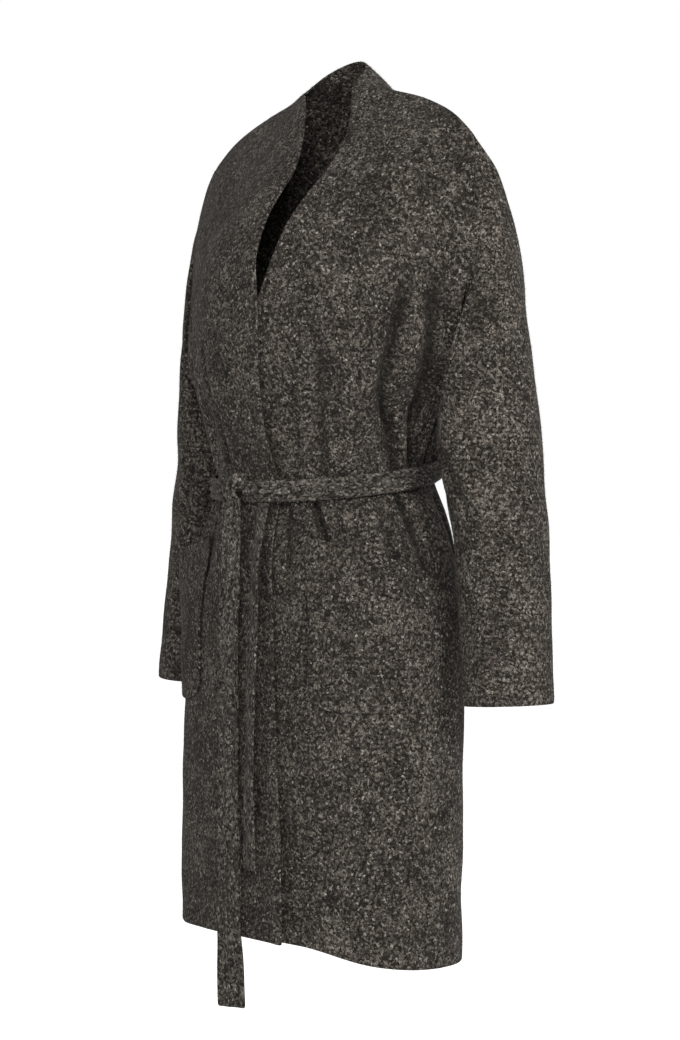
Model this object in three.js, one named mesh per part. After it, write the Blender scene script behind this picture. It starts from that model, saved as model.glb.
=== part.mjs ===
// A knitted wrap cardigan, filled out as it is worn: two fronts that wrap right over left, a back,
// a standing collar cut on to the fronts, long sleeves, two patch pockets and a tie belt.
// Millimetres. X runs to the wearer's left, the front faces -Y and Z is up.
// Z is zero where the shoulders meet the neck, on the line that carries the garment.
import * as THREE from "three";

const { lerp, degToRad, radToDeg, clamp, smoothstep } = THREE.MathUtils;

// Cloth
const WALL = 3; // thick brushed knit
const SEAM_DRAW = 0.18; // how far each sewn piece is drawn back from its seam
const SEAM_PRESS = 0.6; // the wall's share of its thickness at a seam
const FULLNESS = 2.35; // how square the body's outline is from above; 2 is an ellipse

// Heights
const HEM = -950;
const UNDERARM = -352;
const WAIST = -426; // the belt's middle at the sides

// The body from hem to underarm. front and back are how far the middle reaches, side is the side seam.
const BODY = [
  { z: HEM, half: 189, front: 113, back: 98, side: -3 },
  { z: -900, half: 189, front: 113, back: 98, side: -3 },
  { z: -820, half: 189, front: 113, back: 99, side: -2 },
  { z: -740, half: 188, front: 113, back: 101, side: 0 },
  { z: -660, half: 186, front: 112, back: 104, side: 2 },
  { z: -590, half: 182, front: 110, back: 108, side: 4 },
  { z: -530, half: 172, front: 107, back: 107, side: 7 },
  { z: -490, half: 159, front: 104, back: 104, side: 10 },
  { z: -467, half: 148, front: 101, back: 101, side: 12 },
  { z: -446, half: 135, front: 99, back: 98, side: 13 },
  { z: -426, half: 128, front: 98, back: 96, side: 14 },
  { z: -408, half: 130, front: 100, back: 97, side: 16 },
  { z: -380, half: 139, front: 108, back: 101, side: 21 },
  { z: UNDERARM, half: 148, front: 116, back: 105, side: 26 },
];
const BODY_ROWS = [
  HEM, -940, -890, -830, -770, -710, -655, -605, -565, -530, -500, -475, -455, -440, -426, -412,
  -396, -372,
];

// The hem hangs a little unevenly: how much higher it is at an angle round the body.
const HEM_RISE = [
  { angle: -180, up: 6 }, { angle: -90, up: 14 }, { angle: -30, up: 22 }, { angle: 25, up: 22 },
  { angle: 55, up: 6 }, { angle: 90, up: 0 }, { angle: 180, up: 6 },
];
const HEM_RISE_FROM = 680;

const MM_PER_DEGREE = 2.1; // round the body, for the width of a fold

// The waist is pulled lower in front than behind.
const WAIST_DIP = { front: -15, back: 14, reach: 75 };
const BELT_HOLDS = { share: 0.7, reach: 26 }; // how much of each fold the belt presses flat

// The seam between body and sleeve, in steps from the underarm to the outside of the shoulder. It is
// dropped: the fronts and the back reach over the top of the arm.
const ARMHOLE = [
  { x: 148, z: UNDERARM, frontY: 26, backX: 148, backZ: UNDERARM, backY: 26 },
  { x: 159, z: -345, frontY: 12, backX: 159, backZ: -345, backY: 44 },
  { x: 176, z: -331, frontY: 3, backX: 176, backZ: -331, backY: 61 },
  { x: 194, z: -310, frontY: -2, backX: 193, backZ: -310, backY: 74 },
  { x: 209, z: -283, frontY: -3, backX: 208, backZ: -283, backY: 81 },
  { x: 220, z: -250, frontY: -2, backX: 219, backZ: -250, backY: 82 },
  { x: 226, z: -213, frontY: 0, backX: 225, backZ: -213, backY: 77 },
  { x: 228, z: -174, frontY: 3, backX: 227, backZ: -174, backY: 68 },
  { x: 226, z: -135, frontY: 8, backX: 226, backZ: -135, backY: 56 },
  { x: 222, z: -97, frontY: 16, backX: 222, backZ: -97, backY: 42 },
  { x: 213, z: -61, frontY: 26, backX: 213, backZ: -61, backY: 26 },
];

// The body above the underarm, a row for each step up the armhole. bend and turn shape the row from
// the middle to the armhole, and spread spaces its columns of points more evenly.
const YOKE = [
  {
    frontZ: UNDERARM, front: 116, backZ: UNDERARM, back: 105, bend: FULLNESS, turn: 1 / FULLNESS,
    spread: 0,
  },
  { frontZ: -324, front: 121, backZ: -324, back: 108, bend: 2.3, turn: 0.53, spread: 0.3 },
  { frontZ: -294, front: 125, backZ: -292, back: 111, bend: 2.3, turn: 0.7, spread: 0.5 },
  { frontZ: -260, front: 127, backZ: -256, back: 113, bend: 2.25, turn: 0.88, spread: 0.6 },
  { frontZ: -222, front: 126, backZ: -216, back: 114, bend: 2.2, turn: 1, spread: 0.6 },
  { frontZ: -180, front: 118, backZ: -172, back: 114, bend: 2.15, turn: 1.05, spread: 0.6 },
  { frontZ: -134, front: 100, backZ: -124, back: 110, bend: 2.1, turn: 1.05, spread: 0.6 },
];

// The line of the shoulder, from the free edge at the neck out to the sleeve.
const SHOULDER = [
  { x: 0, y: 2, z: 4 }, { x: 37.6, y: 10, z: 9 }, { x: 60, y: 22, z: 9 }, { x: 86, y: 29, z: 2 },
  { x: 119, y: 31, z: -7 }, { x: 150, y: 31, z: -18 }, { x: 184, y: 29, z: -36 },
  { x: 213, y: 26, z: -61 },
];
const NECK_ANGLE = 30; // where the collar's seam meets the shoulder, as the columns of points run

// The back of the neck, where the collar is sewn on, and the collar's free edge. roundY and roundZ say
// how full each is between the shoulders.
const NECK = { y: 98, z: -10, roundY: 2.2, roundZ: 2 };
const COLLAR = { edgeY: 56, edgeZ: 47, bulge: 11, roundY: 0.8, roundZ: 0.7 };

// The rows over the chest drop towards the armhole late, and the rows over the shoulder change from
// the neck's depth to the armhole's between two shares of the way out.
const ROW_DROP = 1.4;
const SHOULDER_BLEND = { from: 0.2, to: 0.8 };

// The free edges of the two fronts, from the neck down to the hem.
const LEFT_EDGE = [
  { z: 8, x: 37.6 }, { z: -14, x: 49 }, { z: -36, x: 62 }, { z: -60, x: 71 }, { z: -90, x: 70 },
  { z: -127, x: 59 }, { z: -178, x: 46 }, { z: -222, x: 37 }, { z: -262, x: 14 }, { z: -320, x: -14 },
  { z: -430, x: -30 }, { z: -600, x: -34 }, { z: HEM, x: -36 },
];
const RIGHT_EDGE = [
  { z: 8, x: -37.6 }, { z: -8, x: -22 }, { z: -30, x: -2 }, { z: -75, x: 25 }, { z: -110, x: 28 },
  { z: -134, x: 22 }, { z: -165, x: 20 }, { z: -205, x: 30 }, { z: -240, x: 38 }, { z: -300, x: 35 },
  { z: -360, x: 34 }, { z: -428, x: 40 }, { z: -483, x: 36 }, { z: -593, x: 44 }, { z: -703, x: 52 },
  { z: -780, x: 58 }, { z: HEM, x: 64 },
];
// The doubled edge down each front: steps are its columns, as shares of its width, and it fades out
// above a step up the armhole.
const EDGE_BAND = { width: 11, raise: 2, steps: [0, 0.8, 1.35], clears: 1.4, fadesFrom: 2.5 };

// The right front lies on the left one, and stands further off it at the corner of the hem.
const LAP = { lift: 6, from: 34, over: 60, hemLift: 9, hemFrom: 546, hemInner: -10, hemOuter: 70 };

// Folds drawn in by the belt. angle runs round the body: 0 at the middle of the front, 90 at the
// left side and 180 at the middle of the back. depth is out if positive and in if negative.
const FOLDS = [
  { angle: 40, lean: -2, top: -225, peak: -395, bottom: -470, width: 17, depth: -7 },
  { angle: 57, lean: 2, top: -240, peak: -380, bottom: -450, width: 16, depth: 6 },
  { angle: 74, lean: -2, top: -190, peak: -390, bottom: -455, width: 17, depth: -11 },
  { angle: 14, lean: 1, top: -260, peak: -400, bottom: -450, width: 13, depth: 4 },
  { angle: -30, lean: -2, top: -240, peak: -390, bottom: -460, width: 14, depth: -6 },
  { angle: -52, lean: -3, top: -200, peak: -390, bottom: -450, width: 13, depth: 6 },
  { angle: -72, lean: 2, top: -190, peak: -385, bottom: -455, width: 17, depth: -9 },
  { angle: 42, lean: 2, top: -425, peak: -478, bottom: -600, width: 10, depth: -8 },
  { angle: 62, lean: 2, top: -430, peak: -480, bottom: -640, width: 14, depth: 5 },
  { angle: 82, lean: 3, top: -420, peak: -475, bottom: -600, width: 10, depth: -9 },
  { angle: 22, lean: 1, top: -430, peak: -490, bottom: -640, width: 13, depth: 4 },
  { angle: -40, lean: -2, top: -430, peak: -480, bottom: -610, width: 11, depth: -7 },
  { angle: -64, lean: -2, top: -430, peak: -490, bottom: -650, width: 13, depth: 5 },
  { angle: -84, lean: -2, top: -420, peak: -480, bottom: -600, width: 10, depth: -8 },
  { angle: -80, lean: 0, top: -470, peak: -575, bottom: -720, width: 26, depth: 9 },
  { angle: 112, lean: -2, top: -200, peak: -385, bottom: -560, width: 12, depth: -8 },
  { angle: 126, lean: -1, top: -230, peak: -400, bottom: -600, width: 12, depth: 6 },
  { angle: 143, lean: -2, top: -170, peak: -390, bottom: -570, width: 13, depth: -9 },
  { angle: 160, lean: 0, top: -250, peak: -410, bottom: -620, width: 12, depth: 6 },
  { angle: 176, lean: 1, top: -220, peak: -385, bottom: -590, width: 13, depth: -8 },
  { angle: -167, lean: 0, top: -240, peak: -400, bottom: -600, width: 12, depth: 6 },
  { angle: -150, lean: 2, top: -180, peak: -390, bottom: -560, width: 12, depth: -9 },
  { angle: -133, lean: 1, top: -250, peak: -400, bottom: -610, width: 13, depth: 6 },
  { angle: -114, lean: 2, top: -200, peak: -385, bottom: -570, width: 12, depth: -8 },
];

// Columns of points: a front's from its edge band to the neck's line and on to the side, and the back's.
const FRONT_COLUMNS = { neck: 4, side: 10 };
const BACK_COLUMNS = 30;

// The sleeve, a ring for each row after the armhole: the ring's upper, outer end, its lower, inner
// end, its middle front to back, its half size that way, and how far it has turned from the shape of
// the armhole to an oval.
const SLEEVE = [
  { topX: 228, topZ: -80, lowX: 158, lowZ: -362, y: 33, half: 44, settle: 0.2 },
  { topX: 241, topZ: -113, lowX: 162, lowZ: -376, y: 33, half: 50, settle: 0.5 },
  { topX: 251, topZ: -159, lowX: 165, lowZ: -393, y: 33, half: 55, settle: 0.8 },
  { topX: 259, topZ: -216, lowX: 168, lowZ: -413, y: 35, half: 58, settle: 0.95 },
  { topX: 265, topZ: -282, lowX: 172, lowZ: -438, y: 38, half: 59, settle: 1 },
  { topX: 271, topZ: -349, lowX: 177, lowZ: -468, y: 42, half: 58, settle: 1 },
  { topX: 278, topZ: -417, lowX: 183, lowZ: -503, y: 44, half: 57, settle: 1 },
  { topX: 285, topZ: -487, lowX: 189, lowZ: -543, y: 43, half: 55, settle: 1 },
  { topX: 292, topZ: -552, lowX: 195, lowZ: -586, y: 40, half: 53, settle: 1 },
  { topX: 298, topZ: -608, lowX: 200, lowZ: -625, y: 36, half: 51, settle: 1 },
  { topX: 301, topZ: -652, lowX: 203, lowZ: -658, y: 34, half: 50, settle: 1 },
  { topX: 302, topZ: -664, lowX: 204, lowZ: -669, y: 34, half: 49, settle: 1 },
];

// Folds in a sleeve: ring is the place down the sleeve, turn runs round it from the top, 90 in front.
const SLEEVE_FOLDS = [
  { ring: 3.5, reach: 2.2, turn: 150, lean: -16, width: 26, depth: -7 },
  { ring: 5, reach: 2, turn: 118, lean: 12, width: 24, depth: 4 },
  { ring: 7, reach: 1.8, turn: 128, lean: -14, width: 22, depth: -4 },
  { ring: 6.5, reach: 2.4, turn: 236, lean: 14, width: 26, depth: -5 },
  { ring: 4, reach: 2, turn: 220, lean: -10, width: 26, depth: -6 },
  { ring: 9, reach: 1.6, turn: 60, lean: 10, width: 24, depth: 2 },
];

// Patch pockets, sewn on between two angles round the body.
const POCKET = {
  frontAngle: 29,
  sideAngle: 86,
  topFront: -482,
  topSide: -528,
  bottom: -676,
  round: 14, // how far the lower corners are cut off
  corner: { across: 8, up: 6 }, // how tightly they turn
  clear: 0.6,
  gapeReach: 0.5, // how widely the mouth stands open
  columns: 12,
  rows: 10,
};
const POCKETS = [
  { name: "left_pocket", side: 1, gape: 10, gapeAt: 0.4 },
  { name: "right_pocket", side: -1, gape: 26, gapeAt: 0.95 },
];

// The belt: a soft strip, bunched where it goes round the waist, tied in front. Angles run round the
// body, and its two ends meet the knot.
const BELT = { height: 25, thick: 5, clear: 1.2, from: -2.2, to: 341.5, steps: 60 };
const BELT_EASE = [-6, -3, 0, 3, 6]; // degrees over which the belt runs straight across hollows
const BELT_TOUCH = { turn: 5, rises: [-0.55, -0.25, 0, 0.25, 0.55] }; // where it is kept off the cloth
const KNOT = {
  x: -23, z: -433, width: 36, height: 27, depth: 19, square: 2.8, nip: 0.12, nipAt: 0.15, nipWidth: 0.3,
  sides: 16, rings: 12,
};

// The belt's two hanging ends. off is from the cloth to the middle of the strip, and turn swings its
// face from the front towards the wearer's left.
const TAIL = { thick: 4, steps: 20, crowd: 1.15 }; // crowd brings its rings closer at the top
const TAILS = [
  {
    name: "belt_tail_long",
    rows: [
      { z: -446.8, x: -22, off: 9.5, turn: 0, width: 26 }, { z: -462, x: -21, off: 8, turn: 2, width: 30 },
      { z: -500, x: -20, off: 6, turn: 0, width: 32 }, { z: -580, x: -18, off: 5.5, turn: -3, width: 33 },
      { z: -670, x: -16, off: 5.5, turn: 0, width: 33 }, { z: -770, x: -14, off: 6, turn: 3, width: 33 },
      { z: -860, x: -12, off: 6.5, turn: 6, width: 33 }, { z: -930, x: -11, off: 7, turn: 10, width: 34 },
      { z: -975, x: -10, off: 7, turn: 14, width: 35 }, { z: -1003, x: -9, off: 7, turn: 18, width: 36 },
    ],
  },
  {
    name: "belt_tail_short",
    rows: [
      { z: -453.4, x: 26, off: 4, turn: -8, width: 20 }, { z: -475, x: 28, off: 8, turn: -20, width: 22 },
      { z: -510, x: 27, off: 9, turn: -28, width: 25 }, { z: -560, x: 25, off: 9, turn: -26, width: 26 },
      { z: -630, x: 24, off: 9, turn: -24, width: 27 }, { z: -710, x: 24, off: 9, turn: -26, width: 27 },
      { z: -790, x: 25, off: 9, turn: -22, width: 27 }, { z: -849, x: 27, off: 9, turn: -16, width: 27 },
    ],
  },
];

// A thread loop at each side seam keeps the belt in place.
const BELT_LOOP = {
  radius: 1.2, reach: 19, clear: 0.4, angle: 91, sides: 6, turnsIn: 0.72,
  path: [-1, -0.86, -0.68, -0.3, 0, 0.3, 0.68, 0.86, 1], // shares of its reach up and down the belt
};

const COLOURS = {
  knit: { color: 0x44403b, roughness: 0.95 },
  edge: { color: 0x4a4641, roughness: 0.95 },
  belt: { color: 0x524d47, roughness: 0.95 },
  thread: { color: 0x2b2826, roughness: 0.9 },
};

// Reads one column of a table at a height, on a smooth curve through its rows.
function along(table, key, column, at) {
  const rising = table[0][key] < table[table.length - 1][key] ? table : [...table].reverse();
  const last = rising.length - 1;
  const place = clamp(at, rising[0][key], rising[last][key]);
  let i = 0;
  while (i < last - 1 && place > rising[i + 1][key]) i += 1;
  const slope = (n) => {
    const a = Math.max(n - 1, 0);
    const b = Math.min(n + 1, last);
    return (rising[b][column] - rising[a][column]) / (rising[b][key] - rising[a][key]);
  };
  const span = rising[i + 1][key] - rising[i][key];
  const t = (place - rising[i][key]) / span;
  const p = rising[i][column];
  const q = rising[i + 1][column];
  return p * (1 + 2 * t) * (1 - t) ** 2 + q * t * t * (3 - 2 * t)
    + span * t * (1 - t) * (slope(i) * (1 - t) - slope(i + 1) * t);
}

const TOP_STEP = ARMHOLE.length - 1;
const TOP_SPREAD = YOKE[YOKE.length - 1].spread;
const NECK_SHARE = shareAt(degToRad(NECK_ANGLE), TOP_SPREAD);
const bell = (distance, width) => Math.exp(-((distance / width) ** 2));

// The share of the way out to the side at an angle, for a row's spread of columns, and back again.
function shareAt(angle, spread) {
  return lerp(Math.sin(angle), angle / (Math.PI / 2), spread);
}

function angleAt(share, spread) {
  let angle = Math.asin(share);
  for (let i = 0; i < 6; i += 1) {
    const slope = lerp(Math.max(Math.cos(angle), 0.05), 2 / Math.PI, spread);
    angle = clamp(angle - (shareAt(angle, spread) - share) / slope, -Math.PI / 2, Math.PI / 2);
  }
  return angle;
}

function spreadOf(row) {
  return row.step === undefined ? 0 : YOKE[Math.min(row.step, YOKE.length - 1)].spread;
}

// A point of the armhole on the wearer's left, at a step up it; face is -1 in front and 1 behind.
function armhole(step, face) {
  const set = ARMHOLE[step];
  return face < 0
    ? new THREE.Vector3(set.x, set.frontY, set.z)
    : new THREE.Vector3(set.backX, set.backY, set.backZ);
}

// The shoulder line at a share of the way out from the middle.
function shoulder(share) {
  const x = Math.abs(share) * ARMHOLE[TOP_STEP].x;
  return { y: along(SHOULDER, "x", "y", x), z: along(SHOULDER, "x", "z", x) };
}

// The seam between the back and the collar; share is 1 at the shoulder seam.
function neckSeam(share) {
  const end = shoulder(NECK_SHARE);
  const s = Math.abs(share);
  return new THREE.Vector3(
    share * NECK_SHARE * ARMHOLE[TOP_STEP].x,
    end.y + (NECK.y - end.y) * (1 - s ** NECK.roundY),
    end.z + (NECK.z - end.z) * (1 - s ** NECK.roundZ),
  );
}

// How far a fold, or several, moves the cloth out at an angle and height.
function folds(angle, z) {
  let out = 0;
  for (const fold of FOLDS) {
    const away = fold.angle + (fold.lean * (z - fold.peak)) / 100 - angle;
    const round = ((away + 540) % 360) - 180;
    const end = z > fold.peak ? fold.top : fold.bottom;
    const fade = 1 - smoothstep(Math.abs(z - fold.peak), 0, Math.abs(end - fold.peak));
    out += fold.depth * fade * bell(round * MM_PER_DEGREE, fold.width);
  }
  return out * (1 - BELT_HOLDS.share * bell(z - WAIST, BELT_HOLDS.reach));
}

// A point of the body. row is a height, or UNDERARM plus a step up the armhole; face is -1 in front
// and 1 behind; share runs across from -1 at the right side seam to 1 at the left one.
function bodyPoint(row, share, face, edgeShare) {
  const s = Math.abs(share);
  const point = new THREE.Vector3();
  if (row.step === undefined) {
    const half = along(BODY, "z", "half", row.z);
    const side = along(BODY, "z", "side", row.z);
    const middle = face * along(BODY, "z", face < 0 ? "front" : "back", row.z);
    const across = Math.max(1 - s ** FULLNESS, 0) ** (1 / FULLNESS);
    const dip = face < 0 ? WAIST_DIP.front : WAIST_DIP.back;
    const near = bell(row.z - WAIST, WAIST_DIP.reach);
    point.set(share * half, side + (middle - side) * across, row.z + dip * near * across);
  } else {
    const low = Math.min(row.step, YOKE.length - 1);
    const set = YOKE[low];
    const arm = armhole(low, face);
    const middle = face * (face < 0 ? set.front : set.back);
    const across = Math.max(1 - s ** set.bend, 0) ** set.turn;
    const inner = face < 0 ? set.frontZ : set.backZ;
    const reach = clamp((s - edgeShare) / (1 - edgeShare), 0, 1);
    point.set(share * arm.x, arm.y + (middle - arm.y) * across, lerp(inner, arm.z, reach ** ROW_DROP));
    if (row.step > low) rollOverShoulder(point, row.step, share, face, arm);
  }
  const angle = face < 0 ? Math.asin(share) : Math.PI - Math.asin(share);
  const degrees = ((radToDeg(angle) + 540) % 360) - 180;
  const outward = folds(degrees, point.z);
  const toHem = smoothstep(-point.z, HEM_RISE_FROM, -HEM);
  point.z += toHem * along(HEM_RISE, "angle", "up", degrees);
  point.x += Math.sin(angle) * outward;
  point.y += (face < 0 ? -1 : 1) * Math.abs(Math.cos(angle)) * outward;
  return point;
}

// Carries a point from the top of the chest or back on to the shoulder line.
function rollOverShoulder(point, step, share, face, low) {
  const s = Math.abs(share);
  const top = armhole(TOP_STEP, face);
  const here = armhole(step, face);
  const height = (here.z - top.z) / (low.z - top.z);
  const depth = (here.y - top.y) / (low.y - top.y);
  const width = (here.x - top.x) / (low.x - top.x);
  const neck = s < NECK_SHARE && face > 0;
  const line = neck ? neckSeam(share / NECK_SHARE) : shoulder(s);
  const toArmhole = smoothstep(s, SHOULDER_BLEND.from, SHOULDER_BLEND.to);
  const forward = lerp(face > 0 ? Math.sqrt(height) : height, depth, toArmhole);
  point.z = lerp(line.z, point.z, height);
  point.y = lerp(line.y, point.y, forward);
  point.x = lerp(share * top.x, share * low.x, width);
}

// The rows of a front or back panel, from the hem to the shoulder.
const PANEL_ROWS = [
  ...BODY_ROWS.map((z) => ({ z })),
  ...Array.from({ length: ARMHOLE.length }, (_, step) => ({ step })),
];

// The height of a row at the middle of the front, for reading the free edges.
function frontHeight(row) {
  if (row.step === undefined) return row.z;
  if (row.step < YOKE.length) return YOKE[row.step].frontZ;
  const top = armhole(TOP_STEP, -1);
  const low = armhole(YOKE.length - 1, -1);
  const height = (armhole(row.step, -1).z - top.z) / (low.z - top.z);
  return lerp(LEFT_EDGE[0].z, YOKE[YOKE.length - 1].frontZ, height);
}

function halfWidth(row) {
  return row.step === undefined ? along(BODY, "z", "half", row.z) : armhole(row.step, -1).x;
}

// How far the right front stands off the left one at a point.
function lapLift(x, z) {
  const toHem = smoothstep(-z, LAP.hemFrom, -HEM);
  const toEdge = smoothstep(x, LAP.hemInner, LAP.hemOuter);
  return LAP.lift * smoothstep(x, -LAP.from - LAP.over, -LAP.from) + LAP.hemLift * toHem * toEdge;
}

// The shares of a front's columns in one row: the doubled edge, then evenly round to the side.
function frontShares(row, free, half) {
  const band = EDGE_BAND.steps.map((step) => (free + EDGE_BAND.width * step) / half);
  const spread = spreadOf(row);
  const open = angleAt(band[band.length - 1], spread);
  const plain = lerp(open, Math.PI / 2, FRONT_COLUMNS.neck / (FRONT_COLUMNS.neck + FRONT_COLUMNS.side));
  const rise = row.step === undefined ? 0 : smoothstep(row.step, YOKE.length - 1, TOP_STEP);
  const knee = lerp(plain, degToRad(NECK_ANGLE), rise);
  const shares = [...band];
  for (let c = 1; c <= FRONT_COLUMNS.neck; c += 1) {
    shares.push(shareAt(lerp(open, knee, c / FRONT_COLUMNS.neck), spread));
  }
  for (let c = 1; c <= FRONT_COLUMNS.side; c += 1) {
    shares.push(shareAt(lerp(knee, Math.PI / 2, c / FRONT_COLUMNS.side), spread));
  }
  return shares;
}

// One front, its columns from the wearer's right to the left. side is 1 for the left front.
function front(side) {
  const edge = side > 0 ? LEFT_EDGE : RIGHT_EDGE;
  return PANEL_ROWS.map((row) => {
    const half = halfWidth(row);
    const free = side * along(edge, "z", "x", frontHeight(row));
    const sewn = row.step === undefined ? 0 : smoothstep(row.step, EDGE_BAND.fadesFrom, TOP_STEP);
    const points = frontShares(row, free, half).map((share, c) => {
      const point = bodyPoint(row, side * share, -1, Math.max(free / half, 0));
      const band = c < EDGE_BAND.steps.length - 1 ? EDGE_BAND.raise : 0;
      const lift = side < 0 ? lapLift(point.x, point.z) : 0;
      const angle = side * Math.asin(share);
      point.x += Math.sin(angle) * (band + lift) * (1 - sewn);
      point.y -= Math.cos(angle) * (band + lift) * (1 - sewn);
      return point;
    });
    return side > 0 ? points : points.reverse();
  });
}

// The back, from the left side seam to the right one.
function back() {
  return PANEL_ROWS.map((row) => Array.from({ length: BACK_COLUMNS + 1 }, (_, c) => {
    const share = shareAt(lerp(Math.PI / 2, -Math.PI / 2, c / BACK_COLUMNS), spreadOf(row));
    return bodyPoint(row, share, 1, 0);
  }));
}

// The collar, from the left shoulder seam to the right one; its rows run from the back's neck seam up
// to the free edge.
function collar() {
  const top = { step: TOP_STEP };
  const shares = frontShares(top, LEFT_EDGE[0].x, halfWidth(top));
  const ends = shares.slice(0, EDGE_BAND.steps.length + FRONT_COLUMNS.neck).reverse();
  const half = halfWidth(top);
  const steps = (2 * BACK_COLUMNS * NECK_ANGLE) / 180;
  const tip = shoulder(ends[ends.length - 1]);
  return ends.map((end) => {
    const climb = (ends[0] - end) / (ends[0] - ends[ends.length - 1]);
    return Array.from({ length: steps + 1 }, (_, c) => {
      const angle = lerp(1, -1, c / steps) * degToRad(NECK_ANGLE);
      const across = shareAt(angle, TOP_SPREAD) / NECK_SHARE;
      const seam = neckSeam(across);
      const round = Math.cos((across * Math.PI) / 2);
      const edge = new THREE.Vector3(
        Math.sin((across * Math.PI) / 2) * ends[ends.length - 1] * half,
        lerp(tip.y, COLLAR.edgeY, round ** COLLAR.roundY),
        lerp(tip.z, COLLAR.edgeZ, round ** COLLAR.roundZ),
      );
      const point = seam.clone().lerp(edge, climb);
      const line = shoulder(end);
      const plain = neckSeam(1).lerp(new THREE.Vector3(ends[ends.length - 1] * half, tip.y, tip.z), climb);
      const pull = Math.abs(across) ** 3;
      point.x += (end * half - plain.x) * pull * Math.sign(across);
      point.y += (line.y - plain.y) * pull + COLLAR.bulge * Math.sin(Math.PI * climb) * (1 - pull);
      point.z += (line.z - plain.z) * pull;
      return point;
    });
  });
}

// A sleeve on the wearer's left. Its first ring is the armhole as the fronts and back have it, up the
// back and down the front.
function sleeve(armholeRing) {
  const count = armholeRing.length;
  const start = armholeRing[0].clone().add(armholeRing[count / 2]).multiplyScalar(0.5);
  const rings = SLEEVE.map((row, ring) => armholeRing.map((seam, c) => {
    const turn = (360 * c) / count;
    const climb = degToRad(-90 + turn);
    const middle = new THREE.Vector3((row.topX + row.lowX) / 2, row.y, (row.topZ + row.lowZ) / 2);
    const up = new THREE.Vector3((row.topX - row.lowX) / 2, 0, (row.topZ - row.lowZ) / 2);
    const oval = middle.clone().addScaledVector(up, Math.sin(climb));
    oval.y += row.half * Math.cos(climb);
    const point = seam.clone().sub(start).add(middle).lerp(oval, row.settle);
    const away = point.clone().sub(middle).normalize();
    let out = 0;
    for (const fold of SLEEVE_FOLDS) {
      const place = ring + 1 - fold.ring;
      const spread = ((turn - fold.turn - fold.lean * place + 900) % 360) - 180;
      out += fold.depth * bell(place, fold.reach) * bell(spread, fold.width);
    }
    return point.addScaledVector(away, out * (1 - bell(ring + 1, 1)));
  }));
  return [armholeRing, ...rings];
}

// The armhole ring of one side, from the panels that meet there.
function armholeRing(frontGrid, backGrid, side) {
  const first = BODY_ROWS.length;
  const rows = PANEL_ROWS.map((_, r) => r).slice(first);
  const pick = (grid, r, last) => grid[r][last ? grid[r].length - 1 : 0].clone();
  const behind = rows.map((r) => pick(backGrid, r, side < 0));
  const ahead = rows.map((r) => pick(frontGrid, r, side > 0)).reverse();
  return [...behind, ...ahead.slice(1, -1)];
}

const mirror = (grid) => grid.map((row) => row.map((p) => new THREE.Vector3(-p.x, p.y, p.z)).reverse());

// The outside of the cloth at an angle round the body and a height below the underarm.
function outside(angle, z) {
  const round = ((angle + 540) % 360) - 180;
  const face = Math.abs(round) <= 90 ? -1 : 1;
  const point = bodyPoint({ z }, Math.sin(degToRad(angle)), face, 0);
  const inside = along(RIGHT_EDGE, "z", "x", z) - point.x;
  const band = inside < EDGE_BAND.width * EDGE_BAND.clears ? EDGE_BAND.raise : 0;
  const lift = face < 0 && inside > -1 ? lapLift(point.x, z) + band : 0;
  point.y -= lift * Math.cos(degToRad(angle));
  return point;
}

// The level direction out of the cloth at an angle and height.
function outward(angle, z) {
  const step = 4;
  const before = outside(angle - step, z);
  const after = outside(angle + step, z);
  const run = after.sub(before);
  return new THREE.Vector3(run.y, -run.x, 0).normalize();
}

// A patch pocket, moved out from the front that it is sewn on.
function pocket(place) {
  const { columns, rows } = POCKET;
  const grid = Array.from({ length: rows + 1 }, (_, r) => Array.from({ length: columns + 1 }, (_, c) => {
    const across = c / columns;
    const up = r / rows;
    const corner = POCKET.round * Math.abs(2 * across - 1) ** POCKET.corner.across
      * (1 - up) ** POCKET.corner.up;
    const top = lerp(POCKET.topFront, POCKET.topSide, across);
    const z = lerp(POCKET.bottom + corner, top, up);
    return outside(place.side * lerp(POCKET.frontAngle, POCKET.sideAngle, across), z);
  }));
  const ordered = place.side > 0 ? grid : grid.map((row) => row.reverse());
  const normals = normalsOf(ordered, false);
  return ordered.map((row, r) => row.map((point, c) => {
    const across = place.side > 0 ? c / columns : 1 - c / columns;
    const gape = place.gape * (r / rows) ** 2 * bell(across - place.gapeAt, POCKET.gapeReach);
    return point.addScaledVector(normals[r][c], POCKET.clear + WALL + gape);
  }));
}

// Normals of a grid of points, from the faces round each.
function normalsOf(grid, wrap) {
  const rows = grid.length;
  const columns = grid[0].length;
  const column = (c) => (wrap ? (c + columns) % columns : clamp(c, 0, columns - 1));
  const at = (r, c) => grid[clamp(r, 0, rows - 1)][column(c)];
  return grid.map((row, r) => row.map((_, c) => {
    const across = at(r, c + 1).clone().sub(at(r, c - 1));
    const up = at(r + 1, c).clone().sub(at(r - 1, c));
    return across.cross(up).normalize();
  }));
}

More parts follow.
